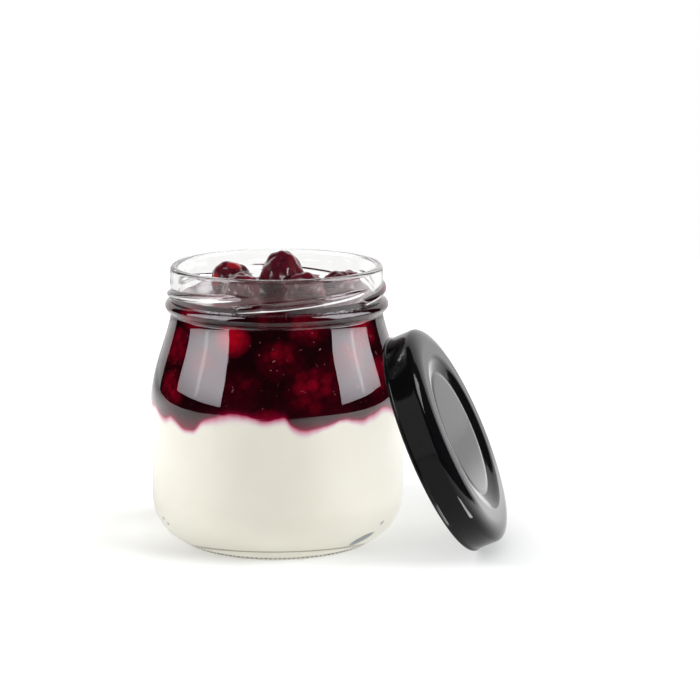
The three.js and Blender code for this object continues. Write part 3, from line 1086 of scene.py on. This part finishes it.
@dataclass
class YogurtFill:
    """The yogurt, reaching just into the glass, with the grey of a few small air pockets and a dark line of shade at
    the heel painted on.
    """

    form: GlassForm
    line: LayerLine
    reach_in: float = 0.06
    fine_from: float = 9.0
    bleed: float = 0.62
    bleed_swing: float = 0.45
    heel_shade_line: float = 0.5
    heel_shade_shift: float = 1.4
    pocket_tilt: float = 0.09
    pocket_edge: float = 0.3
    pockets: tuple[tuple[float, float, float, float], ...] = (
        (52.0, 5.9, 7.5, 0.8), (62.0, 8.6, 1.4, 0.5), (-69.0, 9.0, 1.3, 0.4), (-65.5, 8.1, 1.0, 0.4),
        (147.0, 7.4, 4.0, 0.6), (236.0, 8.4, 3.0, 0.6),
    )

    def build(self) -> bpy.types.Object:
        """Makes the yogurt as one closed body of rings.

        Returns:
            The yogurt, with how far the compote has stained it.
        """
        form = self.form
        azimuth = azimuths(CONTENTS_COLUMNS)
        edge = self.line.edge(azimuth)
        crown = form.floor_edge_height + form.floor_crown - self.reach_in
        wall, low = form.inner_radius + self.reach_in, form.inner_heel_top
        rows = [(form.floor_edge * share, crown - form.floor_crown * share) for share in (0.3, 0.6, 0.85)]
        rows += list(form.inner_heel(self.reach_in, 96))
        rows += [(wall, low + (edge - self.fine_from - low) * share) for share in (0.2, 0.4, 0.6, 0.8)]
        for depth in self.fine_from * np.linspace(1, 0, 30) ** 1.8:
            rows.append((form.inside(edge - depth) + self.reach_in, edge - depth))
        rows += [(wall * share, self.line.inside(azimuth, share)) for share in LAYER_SHARES[::-1]]
        radius, height = stack_rings(rows, CONTENTS_COLUMNS)
        # Painted air pockets: a share of grey for each point, with no hollow in the form.
        pocket_shade = np.zeros_like(height)
        for centre, z, half_width, half_height in self.pockets:
            away = (azimuth - centre + 180) % 360 - 180
            above = height - z - self.pocket_tilt * np.clip(away, -half_width, half_width)
            within = 1 - (away / half_width) ** 2 - (above / half_height) ** 2
            pocket_shade = np.maximum(pocket_shade, np.clip(within / self.pocket_edge, 0, 1) * (radius > form.floor_edge))
        # Painted shade: a thin dark ring at the heel, where the yogurt meets the jar's floor.
        away = (radius - form.floor_edge - self.heel_shade_shift) / self.heel_shade_line
        heel_shade_line = np.exp(-(away**2)) * (height < form.inner_heel_top)
        piece = turned("yogurt_fill", radius, height, (crown, self.line.level))
        swing = np.sin(np.radians(azimuth * 7) + 1) * np.sin(np.radians(azimuth * 3))
        spread = self.bleed * (1 + self.bleed_swing * swing)
        stain = np.exp(-np.maximum(edge - height, 0) / spread)
        set_values(piece, "bleed", stain, (0, 1))
        set_values(piece, "pocket_shade", pocket_shade, (0, 0))
        set_values(piece, "heel_shade_line", heel_shade_line, (0, 0))
        return piece

    def dress(self, finishes: Finishes) -> None:
        """Builds the yogurt and gives it its finish."""
        hand_over(self.build(), [finishes.yogurt], ["yogurt"])


@dataclass(frozen=True)
class SunkBerry:
    """A berry in the compote near the wall. With no drupelets it is a smooth round one."""

    azimuth: float
    height: float
    radius: float
    behind: float
    glow: float
    drupelets: int = 34


@dataclass(frozen=True)
class SunkFruit:
    """How much red the fruit behind the wall lends the compote, by its depth in the dark gel, with painted shade that
    dims each drupelet towards its edge.
    """

    fade: float = 3.4
    share: float = 0.32
    seed: int = 21
    strewn: int = 30
    strewn_from: float = 78.0
    strewn_span: float = 204.0
    strewn_levels: Triple = (50.0, 60.0, 70.0)
    lobed_edge_shading: float = 0.2
    round_edge_shading: float = 0.65
    near: float = 1.9
    berries: tuple[SunkBerry, ...] = (
        SunkBerry(-23.5, 65.0, 5.1, 0.0, 0.95, 0),
        SunkBerry(3.0, 59.8, 6.2, 0.0, 0.4),
        SunkBerry(20.0, 50.4, 7.9, 0.0, 0.47),
        SunkBerry(19.5, 68.8, 5.8, 0.0, 0.5),
        SunkBerry(-17.0, 51.2, 6.8, 0.6, 0.25),
        SunkBerry(-3.0, 41.4, 5.4, 0.0, 0.55, 0),
        SunkBerry(55.0, 65.0, 5.6, 0.1, 0.75),
        SunkBerry(60.0, 52.0, 6.8, 0.1, 0.55),
        SunkBerry(-62.0, 60.0, 7.0, 0.1, 0.6),
        SunkBerry(-57.0, 49.0, 6.2, 0.1, 0.55),
        SunkBerry(-38.0, 57.0, 6.4, 0.4, 0.5),
        SunkBerry(42.0, 58.5, 6.2, 0.4, 0.5),
        SunkBerry(-50.0, 70.0, 5.6, 0.2, 0.6),
        SunkBerry(-2.0, 73.0, 5.2, 0.8, 0.3),
    )

    def all_berries(self) -> list[SunkBerry]:
        """The berries in front and those strewn round the sides and back.

        Returns:
            The berries, those in front first.
        """
        draw = np.random.default_rng(self.seed)
        berries = list(self.berries)
        for number in range(self.strewn):
            azimuth = self.strewn_from + self.strewn_span * (number + draw.uniform(0.1, 0.9)) / self.strewn
            height = self.strewn_levels[number % 3] + draw.uniform(-4, 4)
            radius, behind, glow = draw.uniform(5, 7.4), draw.uniform(0, 1.2), draw.uniform(0.25, 0.5)
            berries.append(SunkBerry(azimuth, height, radius, behind, glow, 0 if number % 7 == 3 else 34))
        return berries

    def glow(self, form: GlassForm, azimuth: Array, height: Array) -> Array:
        """The red seen at places on the wall.

        Args:
            form: The glass.
            azimuth: Azimuth of each place.
            height: Height of each place.

        Returns:
            Zero for gel alone, up to one for bright fruit at the wall.
        """
        draw = np.random.default_rng(self.seed)
        angle = np.radians(azimuth)
        inward = np.stack([-np.sin(angle), np.cos(angle), np.zeros_like(angle)], -1)
        wall = around(form.inside(height), height, azimuth)
        red = np.zeros_like(height)
        for berry in self.all_berries():
            middle = around(
                form.inside(np.array(berry.height)) - berry.behind - berry.radius,
                np.array(berry.height), np.array(berry.azimuth))
            near = np.abs(wall - middle).max(-1) < berry.radius * self.near
            if berry.drupelets:
                spin = np.array(Euler(draw.uniform(0, 6.28, 3)).to_matrix())
                balls = middle + even_directions(berry.drupelets) @ spin * berry.radius * (1 - self.share)
                size = berry.radius * self.share * draw.uniform(0.8, 1.12, berry.drupelets)
                tone = draw.uniform(0.55, 1.25, berry.drupelets)
                rim = self.lobed_edge_shading
            else:
                balls, size, tone = middle[None], np.array([berry.radius]), np.ones(1)
                rim = self.round_edge_shading
            for ball, width, shade in zip(balls, size, tone):
                offset = ball - wall[near]
                along = (offset * inward[near]).sum(-1)
                inside = width**2 - (offset**2).sum(-1) + along**2
                half = np.sqrt(np.maximum(inside, 0))
                depth = np.maximum(along - half, 0)
                # Painted shade: each ball's red dims towards its edge, down to the edge share.
                lit = berry.glow * shade * np.exp(-depth / self.fade) * (rim + (1 - rim) * half / width)
                red[near] = np.maximum(red[near], np.where((inside > 0) & (along > 0), lit, 0))
        return red


@dataclass(frozen=True)
class TopBerry:
    """A berry that stands out of the compote, coated in syrup."""

    node: str
    place: Triple
    radius: float
    stretch: float
    lean: float
    azimuth: float
    detail: int
    softness: float
    seed: int
    drupelets: int = 30
    share: float = 0.36
    bright: tuple[Triple, ...] = ()
    taper: float = 0.0
    gel_climb: float = 2.2
    gel_reach: float = 2.0
    unevenness: float = 0.006

    def build(self) -> bpy.types.Object:
        """Makes the berry: the outside of its drupelets with syrup in the creases.

        Returns:
            The berry, with its crests and the ripeness of each drupelet.
        """
        draw = np.random.default_rng(self.seed)
        form = bmesh.new()
        bmesh.ops.create_icosphere(form, subdivisions=self.detail, radius=1.0)
        ways = np.array([vertex.co for vertex in form.verts])
        faces = [[vertex.index for vertex in face.verts] for face in form.faces]
        form.free()
        reach = 1 - self.share
        drupelets = even_directions(self.drupelets)
        along = ways @ drupelets.T * reach
        range_to = along + np.sqrt(np.maximum(self.share**2 - reach**2 + along**2, 0))
        top = range_to.max(1)
        soft = top + self.softness * np.log(np.exp((range_to - top[:, None]) / self.softness).sum(1))
        waves = sum(np.sin(ways @ draw.normal(0, 2.2, 3) + draw.uniform(0, 6.28)) for _ in range(4))
        points = ways * (soft * (1 + self.unevenness * waves) * self.radius)[:, None] * (1, self.stretch, 1)
        points[:, ::2] *= 1 - self.taper * np.clip(ways[:, 1:2], 0, 1)
        lean = math.radians(self.lean)
        axis = Vector(around(np.array(math.sin(lean)), np.array(math.cos(lean)), np.array(self.azimuth)))
        turn = np.array(Vector((0, 1, 0)).rotation_difference(axis).to_matrix())
        piece = make_object("top_" + self.node, points @ turn.T + self.place, faces)
        ripe = 0.9 * draw.beta(2.0, 3.0, self.drupelets)
        for way in self.bright:
            ripe[(drupelets @ turn.T @ np.array(way)).argmax()] = 1.0
        set_values(piece, "crest", (top - top.min()) / (top.max() - top.min()))
        set_values(piece, "ripe", ripe[range_to.argmax(1)])
        return piece

    def meniscus(self, x: Array, y: Array, level: float) -> Array:
        """How far the gel climbs this berry.

        Args:
            x: First part of each place.
            y: Second part of each place.
            level: Height of the gel away from it.

        Returns:
            The climb at each place.
        """
        waist = math.sqrt(max(self.radius**2 - (level - self.place[2]) ** 2, 1.0))
        away = np.hypot(x - self.place[0], y - self.place[1]) - waist
        return self.gel_climb * np.exp(-np.maximum(away, 0) / self.gel_reach)

    def dress(self, finishes: Finishes) -> bpy.types.Object:
        """Builds the berry and gives it its finish."""
        return hand_over(self.build(), [finishes.berry], [self.node])


TOP_BERRIES = (
    TopBerry("berry_crown", (1.7, 0, 78.3), 7.4, 1.27, 4, 200, 7, 0.07, 3, taper=0.16),
    TopBerry(
        "berry_left", (-13.4, 1, 77.4), 6.3, 1.12, 55, -80, 6, 0.08, 4, bright=((0.2, -0.4, 0.9), (-0.9, -0.4, 0.3))),
    TopBerry("berry_left_front", (-10.2, -9.8, 76.6), 5.6, 1.1, 70, 30, 6, 0.06, 5),
    TopBerry("berry_right_front", (8.2, -8.6, 76.3), 6, 1.1, 65, 60, 6, 0.06, 6),
    TopBerry("berry_right", (18, 2, 76), 4.9, 1.12, 75, 80, 6, 0.06, 7),
    TopBerry("berry_right_rear", (21.5, 10.5, 75.2), 4.4, 1.1, 60, 130, 6, 0.06, 8),
    TopBerry("berry_rear", (0.6, 15, 75.6), 5.9, 1.12, 65, 170, 6, 0.06, 9),
    TopBerry("berry_left_rear", (-14, 14.5, 74.9), 4.9, 1.1, 60, -140, 6, 0.06, 10),
)


@dataclass(frozen=True)
class Strewn:
    """Small things of one kind in the compote: how many to the square metre, their size, depth and draw."""

    name: str
    density: float
    size: Triple
    sink: float
    draw: int

    def inputs(self) -> dict[str, Any]:
        """Values for the tree that strews them."""
        size = Vector(self.size) * MM
        return {"Density": self.density, "Seed": self.draw, "Size": size, "Sink": self.sink * MM}


@dataclass
class CompoteGel:
    """The compote, reaching just into the glass, with the red of fruit behind its wall painted on, and seeds in it."""

    form: GlassForm
    line: LayerLine
    fruit: SunkFruit
    berries: Sequence[TopBerry]
    level: float = 74.3
    climb: float = 0.3
    climb_width: float = 0.8
    reach_in: float = 0.06
    wall_rows: int = 96
    top_rows: int = 52
    edge_glow: float = 0.5
    edge_haze: float = 1.8
    edge_share: float = 0.85
    sag_from: float = 43.0
    sag_depth: float = 4.0
    sag_glow: float = 0.42
    bed_low: float = 46.0
    bed_high: float = 73.5
    bed_radius: float = 29.0
    strewn: tuple[Strewn, ...] = (
        Strewn("compote_seeds", 60000.0, (0.62, 0.4, 0.34), 0.1, 11),
        Strewn("compote_fibres", 5000.0, (2.4, 0.2, 0.16), 0.04, 4),
        Strewn("compote_pulp", 7000.0, (1.7, 0.75, 0.4), 0.1, 8),
    )

    def surface(self, x: Array, y: Array) -> Array:
        """Height of the gel's top: level, climbing the glass and the berries.

        Args:
            x: First part of each place.
            y: Second part of each place.

        Returns:
            The height at each place.
        """
        inside = self.form.bore_radius + self.reach_in - np.hypot(x, y)
        height = self.level + self.climb * np.exp(-np.maximum(inside, 0) / self.climb_width)
        climbs = np.zeros_like(x)
        for berry in self.berries:
            climbs = np.maximum(climbs, berry.meniscus(x, y, self.level))
        waves = 0.05 * np.sin(x * 0.47 + 1) * np.sin(y * 0.41) + 0.02 * np.sin(x * 0.9 + 2) * np.sin(y * 1.1 - 1)
        return height + climbs + waves * np.clip(inside / 3, 0, 1)

    def build(self) -> bpy.types.Object:
        """Makes the compote as one closed body of rings, with one finish at the wall and one on top.

        Returns:
            The compote, with the red of its fruit and of its thin lower edge.
        """
        form = self.form
        azimuth = azimuths(CONTENTS_COLUMNS)
        edge = self.line.edge(azimuth)
        wall = form.inner_radius + self.reach_in
        rows = [(wall * share, self.line.inside(azimuth, share)) for share in LAYER_SHARES]
        top = self.level + self.climb
        share = np.linspace(0, 1, self.wall_rows)
        for rise in share * 0.75 + share**2.2 * 0.25:
            height = edge + (top - edge) * rise
            rows.append((form.inside(height) + self.reach_in, height))
        wall_end = len(rows)
        for inward in np.linspace(0, 1, self.top_rows)[1:-1] ** 1.5:
            radius = (form.bore_radius + self.reach_in) * (1 - inward)
            x, y, _ = around(radius, 0, azimuth).T
            rows.append((radius, self.surface(x, y)))
        radius, height = stack_rings(rows, CONTENTS_COLUMNS)
        middle = self.surface(np.zeros(1), np.zeros(1))[0]
        piece = turned("compote_gel", radius, height, (self.line.level, middle))
        wet = np.arange(len(piece.data.polygons)) >= CONTENTS_COLUMNS * wall_end
        piece.data.polygons.foreach_set("material_index", wet.astype(np.int32))
        red = self.fruit.glow(form, np.broadcast_to(azimuth, height.shape), height)
        above = np.maximum(height - edge, 0)
        haze = (1 - self.edge_share) * np.exp(-above / self.edge_haze)
        thin = self.edge_share * np.exp(-above / self.edge_glow) + haze
        thin += self.sag_glow * np.clip((self.sag_from - height) / self.sag_depth, 0, 1)
        set_values(piece, "fruit", red, (0, 0))
        set_values(piece, "edge", thin, (1, 0))
        return piece

    def seed_bed(self, gel: bpy.types.Object) -> bpy.types.Mesh:
        """The part of the gel's wall that shows seeds.

        Args:
            gel: The compote.

        Returns:
            That part as a mesh of its own.
        """
        form = bmesh.new()
        form.from_mesh(gel.data)
        axis = Vector(AXIS)
        low, high, least = (size * MM for size in (self.bed_low, self.bed_high, self.bed_radius))

        def hidden(face: bmesh.types.BMFace) -> bool:
            """Whether a face isn't part of that wall."""
            middle = face.calc_center_median() - axis
            return face.material_index == 1 or not low < middle.z < high or middle.xy.length < least

        bmesh.ops.delete(form, geom=[face for face in form.faces if hidden(face)], context="FACES")
        bed = bpy.data.meshes.new("seed_bed")
        form.to_mesh(bed)
        form.free()
        return bed

    def dress(self, finishes: Finishes) -> None:
        """Builds the compote and what is strewn in it, and gives them their finishes.

        Args:
            finishes: The finishes.
        """
        gel = hand_over(self.build(), [finishes.gel_wall, finishes.gel_top], ["compote"])
        tree = scatter_tree(finishes.seed.material())
        for kind in self.strewn:
            hand_over(grown(kind.name, tree, kind.inputs(), self.seed_bed(gel)))


# Cap.


@dataclass
class TwistCap:
    """The twist-off cap: rolled edge, skirt, rounded shoulder, land and sunk panel, leaning on the jar."""

    radius: float = 34.2
    height: float = 10.4
    sheet: float = 0.5
    skirt: float = 33.9
    shoulder: float = 3.1
    shoulder_reach: float = 5.6
    curl: float = 0.55
    land_inner: float = 25.2
    panel_radius: float = 19.8
    panel_sink: float = 1.3
    groove: float = 0.22
    groove_width: float = 0.9
    lugs: int = 5
    lug_span: float = 16.0
    lug_reach: float = 1.2
    lug_height: float = 0.95
    lug_slope: float = 0.35
    lug_half_height: float = 0.75
    lug_zone: float = 3.2
    columns: int = 288
    elevation: float = 24.7
    towards_front: float = 10.4
    x: float = 46.64
    y: float = -12.66

    def top(self, radius: Array) -> Array:
        """Height of the cap's top, from the panel over its step to the land.

        Args:
            radius: Radii.

        Returns:
            The height at each.
        """
        rise = ease((radius - self.panel_radius) / (self.land_inner - self.panel_radius))
        dip = self.groove * np.exp(-(((radius - self.panel_radius + 0.3) / self.groove_width) ** 2))
        return self.height - self.panel_sink * (1 - rise) - dip

    def profile(self) -> Array:
        """The sheet's profile from the middle underneath, round the rolled edge, to the middle on top.

        Returns:
            Radius and height of each point.
        """
        across = np.concatenate([[5.0, 10.0, 15.0], np.linspace(17.5, 26.5, 46), [27.4]])
        land = np.stack([across, self.top(across)], 1)
        under = land - (0, self.sheet)
        corner = (self.skirt - self.shoulder_reach, self.height - self.shoulder)
        inner = ellipse_arc(corner, self.shoulder_reach - self.sheet, self.shoulder - self.sheet, (90, 0), 18)
        inner_skirt = np.array([(self.skirt - self.sheet, z) for z in (6.0, 4.2, 3.0, 2.5, 2.1, 1.8, 1.5, 1.25)])
        roll = ellipse_arc((self.radius - self.curl, self.curl), self.curl, self.curl, (150, 420), 22)
        outer_skirt = np.array([(self.skirt, z) for z in (1.5, 2.5, 4.0, 6.0)])
        outer = ellipse_arc(corner, self.shoulder_reach, self.shoulder, (0, 90), 28)
        return np.concatenate([under, inner, inner_skirt, roll, outer_skirt, outer, land[::-1]])

    def build(self) -> bpy.types.Object:
        """Makes the cap as one closed turned sheet with inward lugs, then leans it.

        Returns:
            The cap.
        """
        radius, height = stack_rings(self.profile(), self.columns)
        inner = (radius < self.skirt - self.sheet + 0.05) & (height < self.lug_zone) & (radius > self.skirt - 1.5)
        pitch = 360 / self.lugs
        local = (azimuths(self.columns) - self.lug_span / 2) % pitch
        local = np.minimum(local, pitch - local) / (self.lug_span / 2)
        push = self.lug_reach * ease((1 - local) / self.lug_slope)
        push = push * np.exp(-(((height - self.lug_height) / self.lug_half_height) ** 4))
        radius = radius - np.where(inner, push, 0)
        middle = self.top(np.zeros(1))[0]
        lift, turn = math.radians(self.elevation), math.radians(self.towards_front)
        axis = Vector((math.cos(lift) * math.cos(turn), -math.cos(lift) * math.sin(turn), math.sin(lift)))
        z = (self.radius - self.curl) * math.cos(lift) + self.curl * (1 - math.sin(lift))
        lean = np.array(Vector((0, 0, 1)).rotation_difference(axis).to_matrix())
        return turned("cap_shell", radius, height, (middle - self.sheet, middle), lean, (self.x, self.y, z))

    def dress(self, finishes: Finishes) -> bpy.types.Object:
        """Builds the cap and gives it its finish."""
        return hand_over(self.build(), [finishes.lacquer], ["lid"])


# Studio.


def linked(pieces: Sequence[bpy.types.Object], state: str) -> bpy.types.Collection:
    """A collection that links a light to some pieces alone, or to all but those.

    Args:
        pieces: The pieces.
        state: INCLUDE or EXCLUDE.

    Returns:
        The collection.
    """
    group = bpy.data.collections.new("light_link")
    for piece in pieces:
        group.objects.link(piece)
    for member in group.collection_objects:
        member.light_linking.link_state = state
    return group


@dataclass(frozen=True)
class Softbox:
    """A rectangular light round the jar. It either falls on things or only shows in them."""

    name: str
    azimuth: float
    distance: float
    width: float
    height: float
    foot: float
    radiance: float
    tint: Triple = (1.0, 1.0, 1.0)
    fade: Optional[tuple[float, float, float, float]] = None
    foot_share: float = 0.085

    def shade(self, light: bpy.types.Light) -> None:
        """Dims a light to shares of its brightness at its two sides, its middle and its foot.

        Args:
            light: The light.
        """
        light.use_nodes = True
        bench = Bench(light.node_tree)
        place = bench.add("ShaderNodeNewGeometry").outputs["Parametric"]
        across, up, _ = bench.add("ShaderNodeSeparateXYZ", {0: place}).outputs
        start, middle, end, foot = self.fade
        tone = bench.ramp(across, [(0.0, (start,) * 3), (0.5, (middle,) * 3), (1.0, (end,) * 3)])
        strength = bench.add("ShaderNodeMapRange", {"Value": up, "From Max": self.foot_share, "To Min": foot})
        emission = bench.tree.nodes["Emission"]
        bench.feed(tone, emission, "Color")
        bench.feed(strength.outputs[0], emission, "Strength")

    def lamp(self) -> bpy.types.Object:
        """Makes the light, upright, facing the jar and hidden from the camera.

        Returns:
            The light.
        """
        light = bpy.data.lights.new(self.name, "AREA")
        light.shape = "RECTANGLE"
        light.color = self.tint
        light.size = self.width
        light.size_y = self.height
        light.energy = self.radiance * math.pi * self.width * self.height
        if self.fade:
            self.shade(light)
        lamp = bpy.data.objects.new(self.name, light)
        bpy.context.scene.collection.objects.link(lamp)
        angle = math.radians(self.azimuth)
        away = Vector((math.sin(angle), -math.cos(angle), 0)) * self.distance
        lamp.location = Vector(AXIS) + away + Vector((0, 0, self.foot + self.height / 2))
        lamp.rotation_euler = (-away).to_track_quat("-Z", "Y").to_euler()
        lamp.visible_camera = False
        return lamp

    def shine(self, pieces: Sequence[bpy.types.Object], state: str) -> bpy.types.Object:
        """Makes a light that only shows in things.

        Args:
            pieces: Pieces that it is linked to.
            state: Whether it shows in them alone or in all but them.

        Returns:
            The light.
        """
        lamp = self.lamp()
        lamp.visible_diffuse = False
        lamp.light_linking.receiver_collection = linked(pieces, state)
        return lamp

    def light(self) -> bpy.types.Object:
        """Makes a light that only falls on things.

        Returns:
            The light.
        """
        lamp = self.lamp()
        lamp.visible_glossy = False
        lamp.visible_transmission = False
        return lamp


@dataclass
class Studio:
    """White floor, soft light from the sides and a lit wall behind, all else dark, and the camera. In metres."""

    floor_reach: float = 0.55
    wall_distance: float = 1.0
    wall_half_width: float = 1.1
    wall_foot: float = -0.3
    wall_top: float = 1.3
    background: float = 1.0
    fill: float = 0.49
    through: float = 0.35
    eye: Triple = (0.021952, -0.65, 0.183987)
    pitch: float = 0.193
    focal: float = 2195.685 / 700
    sensor: float = 36.0
    left: Softbox = Softbox("softbox_left", -74.6, 0.62, 0.60, 0.8, 0.09, 3.3, (0.95, 0.975, 1.0))
    right: Softbox = Softbox("softbox_right", 84.8, 0.62, 0.57, 0.8, 0.09, 6.1, (0.95, 0.975, 1.0))
    strips: tuple[Softbox, ...] = (
        Softbox("strip_left", -74.6, 0.62, 0.60, 1.3, 0.09, 8.1, (1.0, 0.95, 1.0), (0.6, 0.95, 1.0, 0.58)),
        Softbox("strip_right", 84.8, 0.62, 0.57, 1.3, 0.09, 9.0, (1.0, 0.95, 1.0), (0.82, 0.97, 0.66, 0.6)),
        Softbox("seam_left", -75.5, 0.58, 0.04, 1.15, 0.11, 1.9),
        Softbox("seam_right", 85.5, 0.58, 0.04, 1.15, 0.11, 2.2),
    )
    cap_lights: tuple[Softbox, ...] = (
        Softbox("cap_glint", 80, 0.33, 0.30, 0.42, 0.38, 12.0),
        Softbox("cap_front", -25, 0.75, 1.0, 1.5, -0.12, 1.2),
    )
    berry_lights: tuple[Softbox, ...] = (
        Softbox("sparkle_left", -105, 0.6, 0.16, 0.16, 0.1, 15.0),
        Softbox("sparkle_right", 26, 0.6, 0.13, 0.12, 0.23, 20.0),
        Softbox("sparkle_high", 34, 0.6, 0.13, 0.16, 0.39, 20.0),
    )
    toe_glint: Softbox = Softbox("toe_glint", 0, 0.055, 0.016, 0.024, 0.0, 22.0)
    toe_place: Triple = (0.069, -0.059, 0.0008)

    def plane(self, name: str, corners: Sequence[Vector], finish: Finish) -> bpy.types.Object:
        """A flat sheet that isn't part of the object.

        Args:
            name: Name of the sheet.
            corners: Its four corners.
            finish: Its finish.

        Returns:
            The sheet.
        """
        mesh = bpy.data.meshes.new(name)
        mesh.from_pydata(corners, [], [(0, 1, 2, 3)])
        mesh.materials.append(finish.material())
        sheet = bpy.data.objects.new(name, mesh)
        bpy.context.scene.collection.objects.link(sheet)
        return sheet

    def build(self, finishes: Finishes, cap: bpy.types.Object, berries: Sequence[bpy.types.Object]) -> None:
        """Makes the floor, the wall, the lights, the surroundings and the camera.

        Args:
            finishes: The finishes.
            cap: The cap, which neither shades nor shows in the jar.
            berries: The berries on top, which have small highlights.
        """
        reach, foot = self.floor_reach, Vector(AXIS)
        square = ((-reach, -reach), (reach, -reach), (reach, reach), (-reach, reach))
        self.plane("floor", [foot + Vector((x, y, 0)) for x, y in square], finishes.floor)
        half, away = self.wall_half_width, self.wall_distance
        upright = ((-half, self.wall_foot), (half, self.wall_foot), (half, self.wall_top), (-half, self.wall_top))
        wall = self.plane("lit_wall", [foot + Vector((x, away, z)) for x, z in upright], finishes.wall)
        wall.visible_camera = False
        for box in self.strips:
            box.shine([cap, *berries], "EXCLUDE")
        for box in self.cap_lights:
            box.shine([cap], "INCLUDE")
        for box in self.berry_lights:
            box.shine(berries, "INCLUDE")
        toe = self.toe_glint.shine([cap], "INCLUDE")
        toe.location = foot + Vector(self.toe_place)
        toe.rotation_euler = (math.pi, 0, 0)
        self.left.light()
        self.right.light().light_linking.blocker_collection = linked([cap], "EXCLUDE")
        cap.visible_glossy = False
        self.surroundings()
        self.camera()

    def surroundings(self) -> None:
        """White behind everything for the camera, a faint light from the room, and nothing in reflections."""
        world = bpy.data.worlds.new("room")
        world.use_nodes = True
        bench = Bench(world.node_tree)
        path = bench.add("ShaderNodeLightPath").outputs
        seen = bench.times(path["Is Camera Ray"], self.background - self.fill)
        through = bench.times(path["Is Transmission Ray"], self.through - self.fill)
        background = bench.tree.nodes["Background"]
        background.inputs["Color"].default_value = (1, 1, 1, 1)
        bench.feed(bench.plus(seen, through, self.fill), background, "Strength")
        bpy.context.scene.world = world
        world.cycles_visibility.glossy = False
        bpy.context.scene.view_settings.view_transform = "Standard"

    def camera(self) -> None:
        """Sets the camera at the photograph's angle."""
        lens = bpy.data.cameras.new("camera")
        lens.sensor_width = self.sensor
        lens.lens = self.focal * self.sensor
        lens.clip_start = 0.01
        eye = bpy.data.objects.new("camera", lens)
        eye.location = Vector(AXIS) + Vector(self.eye)
        eye.rotation_euler = (math.pi / 2 - self.pitch, 0, 0)
        bpy.context.scene.collection.objects.link(eye)
        bpy.context.scene.camera = eye


def main() -> None:
    """Builds the jar, its contents, its cap and the studio, in that order."""
    logging.basicConfig(level=logging.INFO, format="%(message)s")
    finishes = Finishes()
    form, line = GlassForm(), LayerLine()
    GlassJar(form).dress(finishes)
    YogurtFill(form, line).dress(finishes)
    CompoteGel(form, line, SunkFruit(), TOP_BERRIES).dress(finishes)
    berries = [berry.dress(finishes) for berry in TOP_BERRIES]
    cap = TwistCap().dress(finishes)
    Studio().build(finishes, cap, berries)


if __name__ == "__main__":
    main()
